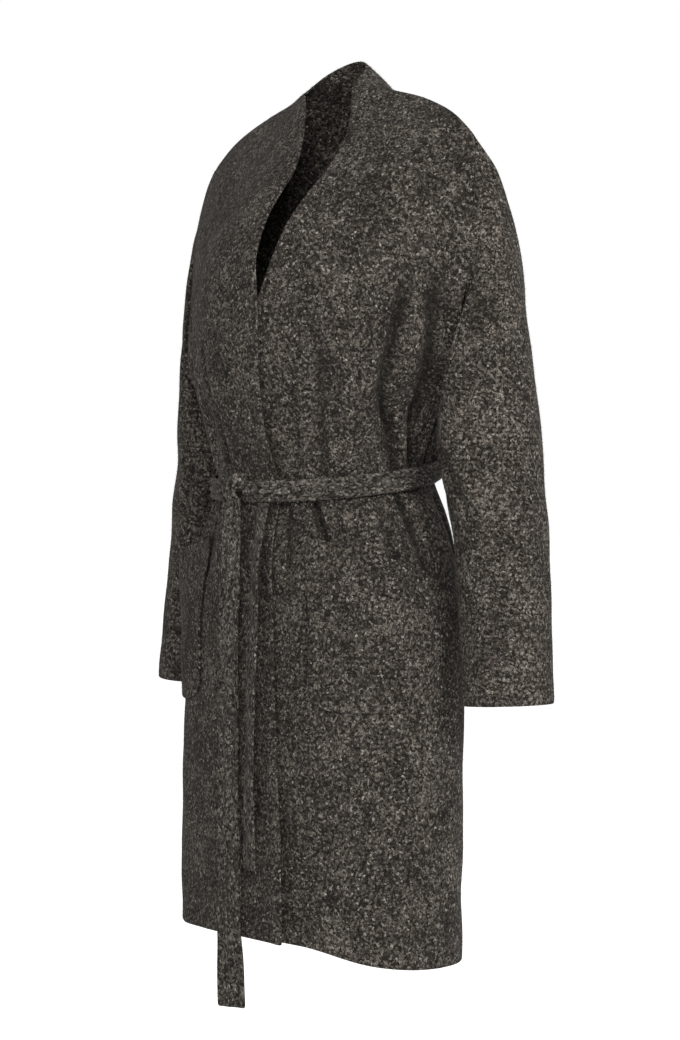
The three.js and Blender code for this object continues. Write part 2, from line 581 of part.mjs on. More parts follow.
// Pieces that are sewn together share their seams' normals, and each is drawn back a little from them.
function sew(pieces) {
  const meeting = new Map();
  const key = (p) => [p.x, p.y, p.z].map((v) => Math.round(v * 100)).join(",");
  for (const piece of pieces) {
    piece.normals = normalsOf(piece.grid, piece.wrap);
    piece.sides = sidesOf(piece);
    for (const [r, c] of piece.sides) {
      const place = key(piece.grid[r][c]);
      if (!meeting.has(place)) meeting.set(place, new Map());
      meeting.get(place).set(piece, piece.normals[r][c]);
    }
  }
  for (const piece of pieces) {
    const moves = [];
    for (const [r, c, nextR, nextC] of piece.sides) {
      const met = meeting.get(key(piece.grid[r][c]));
      if (met.size > 1) {
        const shared = new THREE.Vector3();
        for (const normal of met.values()) shared.add(normal);
        const inward = piece.grid[nextR][nextC].clone().sub(piece.grid[r][c]).setLength(SEAM_DRAW);
        moves.push({ r, c, inward, shared: shared.normalize() });
      }
    }
    for (const { r, c, inward, shared } of moves) {
      piece.grid[r][c] = piece.grid[r][c].clone().add(inward);
      piece.normals[r][c] = shared.clone().multiplyScalar(SEAM_PRESS);
    }
  }
}

// The points round a piece's edges, each with the next point inwards.
function sidesOf({ grid, wrap }) {
  const lastR = grid.length - 1;
  const lastC = grid[0].length - 1;
  const sides = [];
  grid[0].forEach((_, c) => sides.push([0, c, 1, c], [lastR, c, lastR - 1, c]));
  if (!wrap) grid.forEach((_, r) => sides.push([r, 0, r, 1], [r, lastC, r, lastC - 1]));
  return sides;
}

// A closed wall under a grid of outer points. Each face is split along its shorter diagonal.
function wallGeometry(grid, normals, wrap) {
  const rows = grid.length;
  const columns = grid[0].length;
  const inner = grid.map((row, r) => row.map((p, c) => p.clone().addScaledVector(normals[r][c], -WALL)));
  const points = [...grid.flat(), ...inner.flat()];
  const out = (r, c) => r * columns + (c % columns);
  const within = (r, c) => rows * columns + out(r, c);
  const faces = [];
  const quad = (a, b, c, d) => {
    const straight = points[a].distanceTo(points[c]) < points[b].distanceTo(points[d]);
    faces.push(...(straight ? [a, b, c, a, c, d] : [b, c, d, b, d, a]));
  };
  const spans = wrap ? columns : columns - 1;
  for (let r = 0; r < rows - 1; r += 1) {
    for (let c = 0; c < spans; c += 1) {
      quad(out(r, c), out(r, c + 1), out(r + 1, c + 1), out(r + 1, c));
      quad(within(r, c), within(r + 1, c), within(r + 1, c + 1), within(r, c + 1));
    }
    if (!wrap) {
      quad(out(r, 0), out(r + 1, 0), within(r + 1, 0), within(r, 0));
      quad(out(r, spans), within(r, spans), within(r + 1, spans), out(r + 1, spans));
    }
  }
  for (let c = 0; c < spans; c += 1) {
    quad(out(0, c), within(0, c), within(0, c + 1), out(0, c + 1));
    quad(out(rows - 1, c), out(rows - 1, c + 1), within(rows - 1, c + 1), within(rows - 1, c));
  }
  return meshGeometry(points, faces);
}

function meshGeometry(points, faces) {
  const geometry = new THREE.BufferGeometry().setFromPoints(points);
  geometry.setIndex(faces);
  geometry.computeVertexNormals();
  return geometry;
}

// A solid through rings of points, flat at both ends. Each ring runs clockwise seen along the path.
function sweepGeometry(rings) {
  const count = rings[0].length;
  const middle = (ring) => ring.reduce((sum, p) => sum.add(p), new THREE.Vector3()).divideScalar(count);
  const ends = [middle(rings[0]), middle(rings[rings.length - 1])];
  const at = (r, c) => r * count + (c % count);
  const faces = [];
  for (let r = 0; r < rings.length - 1; r += 1) {
    for (let c = 0; c < count; c += 1) {
      faces.push(at(r, c), at(r + 1, c), at(r + 1, c + 1), at(r, c), at(r + 1, c + 1), at(r, c + 1));
    }
  }
  const first = rings.length * count;
  for (let c = 0; c < count; c += 1) {
    faces.push(first, at(0, c), at(0, c + 1));
    faces.push(first + 1, at(rings.length - 1, c + 1), at(rings.length - 1, c));
  }
  return meshGeometry([...rings.flat(), ...ends], faces);
}

// A flat strip's section with round edges, about a middle; wide and deep are unit directions.
function stripSection(middle, wide, deep, width, thick) {
  const round = thick / 2;
  const flat = width / 2 - round;
  const corners = [[1, 1, 0], [1, 0.5, 0.7], [1, -0.5, 0.7], [1, -1, 0], [-1, -1, 0], [-1, -0.5, 0.7],
    [-1, 0.5, 0.7], [-1, 1, 0]];
  return corners.map(([end, face, bulge]) => middle.clone()
    .addScaledVector(wide, end * (flat + bulge * round))
    .addScaledVector(deep, face * round));
}

// How far out from a point of the cloth the belt's inner face has to stay, over its whole height.
function beltReach(angle) {
  const out = outward(angle, WAIST);
  const start = outside(angle, WAIST);
  let reach = 0;
  for (let turn = -BELT_TOUCH.turn; turn <= BELT_TOUCH.turn; turn += 1) {
    for (const rise of BELT_TOUCH.rises) {
      const there = outside(angle + turn, WAIST + rise * BELT.height).sub(start);
      reach = Math.max(reach, there.dot(out) + Math.abs(degToRad(turn)));
    }
  }
  return reach;
}

// The middle of the belt at an angle, with the ways out of the cloth and up its face.
function beltPlace(angle) {
  const reach = BELT_EASE.reduce((sum, turn) => sum + beltReach(angle + turn), 0) / BELT_EASE.length;
  const out = outward(angle, WAIST);
  const off = Math.max(reach, beltReach(angle)) + BELT.clear + BELT.thick / 2;
  return { middle: outside(angle, WAIST).addScaledVector(out, off), out, off };
}

function belt() {
  const rings = [];
  for (let i = 0; i <= BELT.steps; i += 1) {
    const angle = lerp(BELT.from, BELT.to, i / BELT.steps);
    const { middle, out } = beltPlace(angle);
    rings.push(stripSection(middle, new THREE.Vector3(0, 0, 1), out, BELT.height, BELT.thick));
  }
  return sweepGeometry(rings);
}

// The place on the front of the cloth at a distance across and a height.
function frontAt(x, z) {
  const wrapped = Math.max(z, HEM);
  return outside(radToDeg(Math.asin(x / along(BODY, "z", "half", wrapped))), wrapped).y;
}

function knot() {
  const ball = new THREE.SphereGeometry(1, KNOT.sides, KNOT.rings);
  const positions = ball.getAttribute("position");
  const middle = new THREE.Vector3(KNOT.x, 0, KNOT.z);
  middle.y = frontAt(KNOT.x, KNOT.z) - BELT.clear - KNOT.depth / 2;
  for (let i = 0; i < positions.count; i += 1) {
    const p = new THREE.Vector3().fromBufferAttribute(positions, i);
    const size = (Math.abs(p.x) ** KNOT.square + Math.abs(p.y) ** KNOT.square
      + Math.abs(p.z) ** KNOT.square) ** (-1 / KNOT.square);
    p.multiplyScalar(size);
    const waist = 1 - KNOT.nip * bell(p.x - KNOT.nipAt, KNOT.nipWidth);
    positions.setXYZ(
      i,
      middle.x + (p.x * KNOT.width) / 2,
      middle.y + (p.y * waist * KNOT.depth) / 2,
      middle.z + (p.z * waist * KNOT.height) / 2,
    );
  }
  ball.computeVertexNormals();
  return ball;
}

function tail({ rows }) {
  const first = rows[0].z;
  const last = rows[rows.length - 1].z;
  const rings = Array.from({ length: TAIL.steps + 1 }, (_, i) => {
    const z = lerp(first, last, (i / TAIL.steps) ** TAIL.crowd);
    const [x, off, turn, width] = ["x", "off", "turn", "width"].map((name) => along(rows, "z", name, z));
    const swing = degToRad(turn);
    const wide = new THREE.Vector3(Math.cos(swing), Math.sin(swing), 0);
    const deep = new THREE.Vector3(Math.sin(swing), -Math.cos(swing), 0);
    const middle = new THREE.Vector3(x, frontAt(x, z) - off, z);
    return stripSection(middle, wide, deep, width, TAIL.thick);
  });
  return sweepGeometry(rings);
}

// A thread loop from the cloth above the belt, over it and back to the cloth below.
function beltLoop(side) {
  const angle = side * BELT_LOOP.angle;
  const { out, middle } = beltPlace(angle);
  const over = BELT.thick / 2 + 2 * BELT_LOOP.clear + BELT_LOOP.radius;
  const path = BELT_LOOP.path.map((share) => {
    const z = middle.z + share * BELT_LOOP.reach;
    const cloth = outside(angle, z + WAIST - middle.z);
    const onCloth = cloth.addScaledVector(out, BELT_LOOP.clear + BELT_LOOP.radius);
    const overBelt = middle.clone().addScaledVector(out, over);
    const lifted = 1 - smoothstep(Math.abs(share), BELT_LOOP.turnsIn, 1);
    return new THREE.Vector3(lerp(onCloth.x, overBelt.x, lifted), lerp(onCloth.y, overBelt.y, lifted), z);
  });
  const rings = path.map((point, i) => {
    const next = path[Math.min(i + 1, path.length - 1)];
    const ahead = next.clone().sub(path[Math.max(i - 1, 0)]).normalize();
    const level = new THREE.Vector3(out.y, -out.x, 0);
    const deep = level.clone().cross(ahead).normalize();
    return Array.from({ length: BELT_LOOP.sides }, (_, c) => {
      const turn = (2 * Math.PI * c) / BELT_LOOP.sides;
      return point.clone()
        .addScaledVector(level, Math.cos(turn) * BELT_LOOP.radius)
        .addScaledVector(deep, Math.sin(turn) * BELT_LOOP.radius);
    });
  });
  return sweepGeometry(rings);
}

function mesh(name, geometry, colour) {
  const material = new THREE.MeshStandardMaterial({ ...COLOURS[colour], metalness: 0 });
  const piece = new THREE.Mesh(geometry, material);
  piece.name = name;
  return piece;
}

function cardigan() {
  const leftFront = front(1);
  const rightFront = front(-1);
  const backGrid = back();
  const leftSleeve = sleeve(armholeRing(leftFront, backGrid, 1));
  const rightRing = armholeRing(rightFront, backGrid, -1).map((p) => new THREE.Vector3(-p.x, p.y, p.z));
  const rightSleeve = mirror(sleeve(rightRing));
  const sewn = [
    { name: "left_front", grid: leftFront, colour: "knit" },
    { name: "right_front", grid: rightFront, colour: "knit" },
    { name: "back", grid: backGrid, colour: "knit" },
    { name: "collar", grid: collar(), colour: "edge" },
    { name: "left_sleeve", grid: leftSleeve, wrap: true, colour: "knit" },
    { name: "right_sleeve", grid: rightSleeve, wrap: true, colour: "knit" },
  ];
  sew(sewn);
  const group = new THREE.Group();
  for (const piece of sewn) {
    group.add(mesh(piece.name, wallGeometry(piece.grid, piece.normals, piece.wrap), piece.colour));
  }
  for (const place of POCKETS) {
    const grid = pocket(place);
    group.add(mesh(place.name, wallGeometry(grid, normalsOf(grid, false), false), "knit"));
  }
  group.add(mesh("belt", belt(), "belt"));
  group.add(mesh("belt_knot", knot(), "belt"));
  for (const strip of TAILS) group.add(mesh(strip.name, tail(strip), "belt"));
  group.add(mesh("left_belt_loop", beltLoop(1), "thread"));
  group.add(mesh("right_belt_loop", beltLoop(-1), "thread"));
  return group;
}

export default cardigan();
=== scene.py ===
"""A long knitted wrap cardigan, filled out as it is worn, in fine cloth over its solid pieces.

Metres, and millimetres where a comment says so. X runs to the wearer's left, the front faces -Y and Z is
up. Z is zero where the shoulders meet the neck. Angles round the body are in degrees, 0 at the middle of
the front and 90 at the wearer's left side.
"""

import logging
import math
from dataclasses import dataclass, field
from enum import Enum

import bmesh
import bpy
import numpy as np
from mathutils import Euler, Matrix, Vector
from mathutils.kdtree import KDTree


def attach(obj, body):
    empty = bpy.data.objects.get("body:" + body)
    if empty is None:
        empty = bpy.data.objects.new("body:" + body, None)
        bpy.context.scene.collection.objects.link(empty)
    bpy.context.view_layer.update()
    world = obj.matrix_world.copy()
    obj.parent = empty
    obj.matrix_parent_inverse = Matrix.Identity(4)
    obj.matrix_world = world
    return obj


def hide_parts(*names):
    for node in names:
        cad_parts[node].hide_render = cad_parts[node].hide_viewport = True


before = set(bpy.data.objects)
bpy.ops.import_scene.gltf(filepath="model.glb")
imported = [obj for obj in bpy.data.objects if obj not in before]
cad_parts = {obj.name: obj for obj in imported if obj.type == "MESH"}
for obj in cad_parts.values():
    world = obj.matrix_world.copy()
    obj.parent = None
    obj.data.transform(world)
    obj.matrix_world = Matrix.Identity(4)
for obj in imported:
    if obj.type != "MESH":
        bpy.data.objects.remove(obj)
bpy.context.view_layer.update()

log = logging.getLogger("cardigan")
MM = 0.001


class Region(Enum):
    """What a piece wraps round, which gives the way out of its cloth."""

    BODY = "body"
    LEFT_ARM = "left arm"
    RIGHT_ARM = "right arm"


@dataclass(frozen=True)
class Finish:
    """The yarns of a knit, and how it is worked.

    Attributes:
        name: The material's name.
        slot: The record's material slot; not used.
        dark: Colour of the darkest yarn, and of the painted shade in deep folds.
        middle: Colour of most of the yarn.
        light: Colour of the lighter, brushed yarn.
        fleck: Colour of the palest flecks.
        grain: Grains to the metre.
        stretch: How the grain is drawn out along X, Y and Z; under 1 is longer.
        rows: How plainly the rows of stitches show.
        relief: Height of the stitches.
        sheen: The brushed surface's sheen.
    """

    name: str
    slot: str
    dark: tuple[float, float, float]
    middle: tuple[float, float, float]
    light: tuple[float, float, float]
    fleck: tuple[float, float, float]
    grain: float
    stretch: tuple[float, float, float]
    rows: float
    relief: float
    sheen: float


DARK = (0.0065, 0.0052, 0.0040)
FLECK = (0.27, 0.25, 0.22)
GRAIN = 400
KNIT = Finish(
    name="marled_knit", slot="knit", dark=DARK, middle=(0.043, 0.036, 0.030), light=(0.200, 0.179, 0.154),
    fleck=FLECK, grain=GRAIN, stretch=(1, 1, 0.95), rows=0.02, relief=0.0018, sheen=0.03,
)
# The same yarns as KNIT, painted lighter for the brighter light on the sleeves, with plainer rows.
SLEEVE_KNIT_PAINTED_LIGHTER = Finish(
    name="marled_knit_painted_lighter", slot="knit", dark=DARK, middle=(0.050, 0.042, 0.035),
    light=(0.225, 0.202, 0.175), fleck=FLECK, grain=GRAIN, stretch=(1, 1, 1), rows=0.05, relief=0.0018,
    sheen=0.03,
)
BELT_ROUND = Finish(
    name="belt_knit_round", slot="belt_knit", dark=DARK, middle=(0.066, 0.057, 0.049),
    light=(0.25, 0.228, 0.20), fleck=FLECK, grain=GRAIN, stretch=(0.8, 0.8, 1.1), rows=0.0, relief=0.0016,
    sheen=0.04,
)
BELT_DOWN = Finish(
    name="belt_knit_down", slot="belt_knit", dark=DARK, middle=(0.054, 0.047, 0.040),
    light=(0.22, 0.20, 0.174), fleck=FLECK, grain=GRAIN, stretch=(1.1, 1.1, 0.75), rows=0.0, relief=0.0016,
    sheen=0.04,
)
THREAD = Finish(
    name="plied_thread", slot="thread", dark=(0.008, 0.007, 0.006), middle=(0.02, 0.018, 0.016),
    light=(0.05, 0.045, 0.04), fleck=(0.08, 0.075, 0.07), grain=900, stretch=(1, 1, 2), rows=0.0,
    relief=0.0003, sheen=0.1,
)


@dataclass(frozen=True)
class Crease:
    """A trough or ridge laid along the cloth.

    Attributes:
        path: Its course as (angle, height) pairs from the top down, in degrees and millimetres.
        width: Half its width, in millimetres.
        depth: How far it moves the cloth out, in millimetres; negative is in.
    """

    path: tuple[tuple[float, float], ...]
    width: float
    depth: float


@dataclass(frozen=True)
class Grooves:
    """Lengthwise grooves in a bunched strip.

    Attributes:
        hangs: Whether the strip hangs; if not, it runs round the body.
        pitch: From one groove to the next.
        height: How far the ridges between them stand out.
        wander: How far they stray to a side.
        slow: Length over which they stray slowly, as a turn's length over two pi.
        quick: The same for their quicker straying.
        quick_share: How far the quicker one goes, as a share of the slow one.
        quick_start: Where in its turn the quicker one starts, in radians.
        half_width: Half a groove's width, as a share of the pitch.
    """

    hangs: bool
    pitch: float
    height: float
    wander: float
    slow: float = 0.021
    quick: float = 0.0093
    quick_share: float = 0.6
    quick_start: float = 1.7
    half_width: float = 0.26


# Creases over the left front, then the right front and the back.
BODY_CREASES = (
    Crease(((39, -235), (40, -300), (40, -365), (41, -432)), 6.2, -6.1),
    Crease(((50, -260), (51, -330), (53, -425)), 9, 3.4),
    Crease(((70, -190), (69, -237), (66, -296), (64, -332), (73, -374), (77, -401), (78, -432)), 4.7, -12.2),
    Crease(((61, -240), (60, -300), (59, -345), (66, -385), (70, -432)), 7, 4.7),
    Crease(((75, -230), (73, -296), (72, -335), (79, -378), (82, -425)), 6, 4.1),
    Crease(((80, -174), (79, -206), (78, -248), (79, -290), (81, -330), (84, -369), (87, -420)), 4.7, -10.2),
    Crease(((28, -300), (27, -360), (28, -430)), 6.2, -4.1),
    Crease(((36, -444), (39, -470), (43, -500), (46, -540)), 4.7, -10.2),
    Crease(((50, -445), (53, -490), (56, -560)), 8, 4.1),
    Crease(((66, -445), (68, -490), (70, -550)), 4.7, -6.1),
    Crease(((77, -440), (80, -475), (83, -520), (84, -560)), 4.7, -10.2),
    Crease(((22, -446), (24, -500), (25, -580)), 6.2, -4.1),
    Crease(((-31, -250), (-27, -295), (-23, -330), (-20, -368), (-19, -430)), 5.5, -7.2),
    Crease(((-42, -250), (-40, -330), (-37, -425)), 8, 4.1),
    Crease(((-56, -220), (-54, -300), (-58, -360), (-62, -425)), 5.5, -10.2),
    Crease(((-64, -250), (-63, -330), (-68, -420)), 7, 4.1),
    Crease(((-78, -190), (-77, -260), (-76, -320), (-82, -375), (-86, -425)), 4.7, -10.2),
    Crease(((-31, -444), (-34, -465), (-37, -495), (-38, -540)), 4.7, -10.2),
    Crease(((-50, -445), (-53, -500), (-55, -560)), 8, 3.4),
    Crease(((-72, -442), (-76, -480), (-79, -540)), 4.7, -8.2),
    Crease(((103, -215), (102, -300), (100, -372), (99, -425)), 5.5, -10.2),
    Crease(((118, -260), (116, -340), (114, -422)), 8, 4.1),
    Crease(((133, -200), (130, -290), (127, -370), (126, -422)), 5.5, -9.1),
    Crease(((146, -270), (143, -350), (141, -420)), 8, 4.1),
    Crease(((160, -230), (157, -320), (155, -415)), 4.7, -8.2),
    Crease(((176, -210), (174, -300), (173, -412)), 6.2, -6.1),
    Crease(((-172, -270), (-174, -350), (-175, -412)), 8, 4.1),
    Crease(((-159, -215), (-161, -300), (-163, -412)), 5.5, -9.1),
    Crease(((-142, -260), (-144, -340), (-146, -418)), 8, 4.1),
    Crease(((-128, -205), (-129, -290), (-132, -420)), 4.7, -9.1),
    Crease(((-113, -250), (-114, -330), (-116, -422)), 8, 4.1),
    Crease(((-100, -210), (-99, -290), (-100, -425)), 5.5, -9.1),
    Crease(((105, -440), (107, -500), (108, -590)), 5.5, -9.1),
    Crease(((122, -440), (123, -500), (125, -610)), 8, 4.1),
    Crease(((139, -436), (140, -500), (141, -580)), 4.7, -8.2),
    Crease(((158, -430), (158, -500), (157, -620)), 6.2, -7.2),
    Crease(((172, -430), (173, -500), (174, -600)), 8, 4.1),
    Crease(((-169, -430), (-168, -500), (-168, -590)), 5.5, -8.2),
    Crease(((-150, -434), (-150, -500), (-149, -610)), 8, 3.4),
    Crease(((-133, -438), (-132, -500), (-131, -590)), 4.7, -9.1),
    Crease(((-112, -440), (-110, -500), (-109, -600)), 6.2, -8.2),
)

# Creases in a sleeve; its angles run from the front (0) over the outside (90) to behind (180).
ARM_CREASES = (
    Crease(((-34, -372), (-22, -400), (-6, -436), (6, -480)), 7, -4.2),
    Crease(((-16, -368), (2, -410), (16, -460)), 9, 2.5),
    Crease(((-60, -420), (-38, -450), (-20, -490), (-10, -540)), 6.2, -3),
    Crease(((150, -300), (166, -350), (184, -400), (200, -450)), 7, -4.2),
    Crease(((176, -440), (164, -480), (156, -540)), 7, -3),
    Crease(((36, -150), (34, -250), (40, -350)), 10.9, -3),
    Crease(((66, -300), (62, -420), (66, -560)), 16, 2),
    Crease(((30, -520), (36, -580), (42, -650)), 7.8, -2.4),
)

# The middle of the wearer's left sleeve on its way down.
ARM_LINE = {
    "z": (-690, -600, -500, -400, -300, -200, -100),
    "x": (253, 243, 232, 222, 212, 205, 200),
    "y": (34, 37, 43, 43, 37, 33, 30),
}
BODY_MIDDLE_Y = 20  # millimetres towards the back
BODY_RADIUS = 128  # millimetres, for the width of a crease round the body
ARM_RADIUS = 52  # millimetres, for one round an arm
FOLD_DEPTH_FOR_FULL_SHADE = 0.009  # depth at which a fold's painted shade is full
BELT_Z = -433  # millimetres, the belt's middle
BELT_NEAR = 24  # millimetres; a crease that ends as close as this runs up to the belt
BELT_FADE = 14  # millimetres over which it then dies away
FREE_FADE = 0.3  # share of its length over which any other end dies away
WAVE_LENGTH = 0.07
WAVE_COUNT = 14
WAVE_SPREAD = (0.6, 1.6)  # shortest and longest wave, as shares of the usual one
WAVE_SEED = 11
WELD = 2e-5  # points closer than this are one
QUAD_BEND = math.radians(60)  # most bend between two triangles that become one face
QUAD_SKEW = math.radians(100)  # most that such a face's corners differ from square
SEAM_REACH = 0.0012  # sewn pieces come as close as this
SHARP_EDGE = math.radians(50)
SEAM_CREASE = 1.0
FREE_CREASE = 0.25  # a free edge rolls
STRIP_CUTS = 7  # cuts across each face of a strip
STRIP_EDGE = 0.008  # a shorter edge isn't cut
UPRIGHT = 0.7  # an edge with more of its length than this along Z is upright
STRIP_BINS = 48  # places along a strip at which its middle is measured


def bell(distance: np.ndarray, width: float) -> np.ndarray:
    """A soft hump, one at no distance.

    Args:
        distance: Distances from the middle.
        width: The distance at which it has mostly died away.

    Returns:
        The hump's height at each distance.
    """
    return np.exp(-((distance / width) ** 2))


def soft_step(share: np.ndarray) -> np.ndarray:
    """A smooth rise from 0 to 1.

    Args:
        share: How far along the rise each point is, from 0 to 1.

    Returns:
        The rise's height at each.
    """
    share = np.clip(share, 0, 1)
    return share * share * (3 - 2 * share)


def outward(points: np.ndarray, region: Region) -> tuple[np.ndarray, np.ndarray]:
    """The level way out of the cloth, and the angle round what it wraps.

    Args:
        points: Points in metres, one to a row.
        region: What the cloth wraps round.

    Returns:
        Unit directions, and angles in degrees.
    """
    side = -1 if region is Region.RIGHT_ARM else 1
    x = points[:, 0] * side / MM
    y = points[:, 1] / MM
    z = points[:, 2] / MM
    if region is Region.BODY:
        middle_x = np.zeros_like(z)
        middle_y = np.full_like(z, BODY_MIDDLE_Y)
    else:
        heights = ARM_LINE["z"]
        middle_x = np.interp(z, heights, ARM_LINE["x"])
        middle_y = np.interp(z, heights, ARM_LINE["y"])
    away = np.stack([x - middle_x, y - middle_y, np.zeros_like(z)], 1)
    away /= np.maximum(np.linalg.norm(away, axis=1, keepdims=True), 1e-6)
    angle = np.degrees(np.arctan2(away[:, 0], -away[:, 1]))
    away[:, 0] *= side
    return away, angle


def crease_depth(points: np.ndarray, region: Region, creases: tuple[Crease, ...]) -> np.ndarray:
    """How far the creases move each point out.

    Args:
        points: Points in metres, one to a row.
        region: What the cloth wraps round.
        creases: The creases laid there.

    Returns:
        Distances in metres.
    """
    _, angle = outward(points, region)
    z = points[:, 2] / MM
    radius = BODY_RADIUS if region is Region.BODY else ARM_RADIUS
    out = np.zeros(len(points))
    for crease in creases:
        heights = np.array([height for _, height in crease.path][::-1])
        turns = np.array([turn for turn, _ in crease.path][::-1])
        reach = [
            BELT_FADE if region is Region.BODY and abs(end - BELT_Z) < BELT_NEAR
            else (heights[-1] - heights[0]) * FREE_FADE
            for end in (heights[0], heights[-1])
        ]
        fade = soft_step((z - heights[0]) / reach[0]) * soft_step((heights[-1] - z) / reach[1])
        away = (angle - np.interp(z, heights, turns) + 540) % 360 - 180
        out += crease.depth * fade * bell(np.radians(away) * radius, crease.width)
    return out * MM


def ridge_height(points: np.ndarray, grooves: Grooves) -> np.ndarray:
    """How far the ridges between a strip's grooves move each point out.

    Args:
        points: Points in metres, one to a row.
        grooves: The strip's grooves.

    Returns:
        Distances in metres.
    """
    _, angle = outward(points, Region.BODY)
    run = points[:, 2] if grooves.hangs else np.radians(angle) * BODY_RADIUS * MM
    side = points[:, 0] if grooves.hangs else points[:, 2]
    bins = np.linspace(run.min(), run.max(), STRIP_BINS + 1)
    count, _ = np.histogram(run, bins)
    total, _ = np.histogram(run, bins, weights=side)
    filled = count > 0
    middle = np.interp(run, ((bins[1:] + bins[:-1]) / 2)[filled], total[filled] / count[filled])
    quick = grooves.quick_share * np.sin(run / grooves.quick + grooves.quick_start)
    across = side - middle + grooves.wander * (np.sin(run / grooves.slow) + quick)
    valley = np.abs(across / grooves.pitch % 1 - 0.5) * grooves.pitch
    return grooves.height * (1 - bell(valley, grooves.pitch * grooves.half_width))


def unevenness(points: np.ndarray, wave: float, height: float, seed: int) -> np.ndarray:
    """Soft irregular waves through space.

    Args:
        points: Points in metres, one to a row.
        wave: Usual length of a wave, in metres.
        height: Usual height, in metres.
        seed: Which set of waves.

    Returns:
        Distances in metres.
    """
    rng = np.random.default_rng(seed)
    total = np.zeros(len(points))
    for _ in range(WAVE_COUNT):
        way = rng.normal(size=3)
        way /= np.linalg.norm(way)
        length = wave * rng.uniform(*WAVE_SPREAD)
        total += np.sin(points @ way * 2 * math.pi / length + rng.uniform(0, 2 * math.pi))
    return total * height / math.sqrt(WAVE_COUNT / 2)


class Graph:
    """A node tree with short calls for adding and joining nodes."""

    def __init__(self, tree: bpy.types.NodeTree) -> None:
        """Takes the tree to fill.

        Args:
            tree: A material's or group's node tree.
        """
        self.tree = tree

    def add(self, kind: str, settings: dict | None = None, **inputs: object) -> bpy.types.Node:
        """Adds a node.

        Args:
            kind: The node's type name.
            settings: Properties to set on it.
            **inputs: Values or sockets for its inputs, by name with underscores for spaces.

        Returns:
            The node.
        """
        node = self.tree.nodes.new(kind)
        for name, value in (settings or {}).items():
            setattr(node, name, value)
        for name, value in inputs.items():
            socket = node.inputs[int(name[1:])] if name[0] == "_" else node.inputs[name.replace("_", " ")]
            if isinstance(value, bpy.types.NodeSocket):
                self.tree.links.new(value, socket)
            else:
                socket.default_value = value
        return node

    def math(self, operation: str, first: object, second: object = 0.0) -> bpy.types.NodeSocket:
        """Adds a sum on numbers.

        Args:
            operation: The sum's name.
            first: A value or socket.
            second: A value or socket.

        Returns:
            The result's socket.
        """
        return self.add("ShaderNodeMath", {"operation": operation}, _0=first, _1=second).outputs[0]

    def step(self, value: object, low: float, high: float) -> bpy.types.NodeSocket:
        """A smooth step from 0 to 1.

        Args:
            value: A socket.
            low: Where it leaves 0.
            high: Where it reaches 1.

        Returns:
            The result's socket.
        """
        smooth = {"interpolation_type": "SMOOTHSTEP"}
        return self.add("ShaderNodeMapRange", smooth, _0=value, _1=low, _2=high).outputs[0]

    def blend(self, share: object, first: object, second: object) -> bpy.types.NodeSocket:
        """Mixes two colours.

        Args:
            share: The second one's share.
            first: A colour or socket.
            second: A colour or socket.

        Returns:
            The mixed colour's socket.
        """
        node = self.add("ShaderNodeMix", {"data_type": "RGBA"}, _0=share, _6=first, _7=second)
        return node.outputs[2]


@dataclass(frozen=True)
class Mix:
    """How the shared marl mixes its yarns. Each step is where it starts and where it is done.

    Attributes:
        row: Height of one row of stitches.
        bends: Bends of the grain to the metre.
        bend: How far they shift it.
        patches: Cloudy patches to the metre.
        hairs: Hairs to the metre.
        mottle_tone: The mottle's part in the tone.
        loop_tone: Each loop's own part in the tone.
        hair_tone: The hairs' part in the tone.
        row_tone: The rows' part in the tone, where they show fully.
        patch_tone: The patches' part in the tone.
        middle_step: Tones over which the middle yarn takes over from the dark one.
        light_step: Tones over which the light yarn takes over.
        fleck_step: Chances over which a loop becomes a fleck.
        fleck_mottle: Mottle over which flecks show.
        black_step: Chances over which a loop turns dark.
        black_share: How dark it turns.
        bead_fall: How fast a loop falls away from its middle.
        bead_height: The loops' part in the height.
        mottle_height: The mottle's part in the height.
        hair_height: The hairs' part in the height.
        rough: Roughness between the hairs.
        hair_rough: What the hairs add to it.
    """

    row: float = 0.0058
    bends: float = 90.0
    bend: float = 0.004
    patches: float = 26.0
    hairs: float = 900.0
    mottle_tone: float = 0.52
    loop_tone: float = 0.20
    hair_tone: float = 0.38
    row_tone: float = 0.35
    patch_tone: float = 0.20
    middle_step: tuple[float, float] = (0.42, 0.62)
    light_step: tuple[float, float] = (0.56, 0.80)
    fleck_step: tuple[float, float] = (0.90, 0.97)
    fleck_mottle: tuple[float, float] = (0.44, 0.64)
    black_step: tuple[float, float] = (0.86, 0.93)
    black_share: float = 0.85
    bead_fall: float = 1.2
    bead_height: float = 0.55
    mottle_height: float = 0.6
    hair_height: float = 0.25
    rough: float = 0.88
    hair_rough: float = 0.12


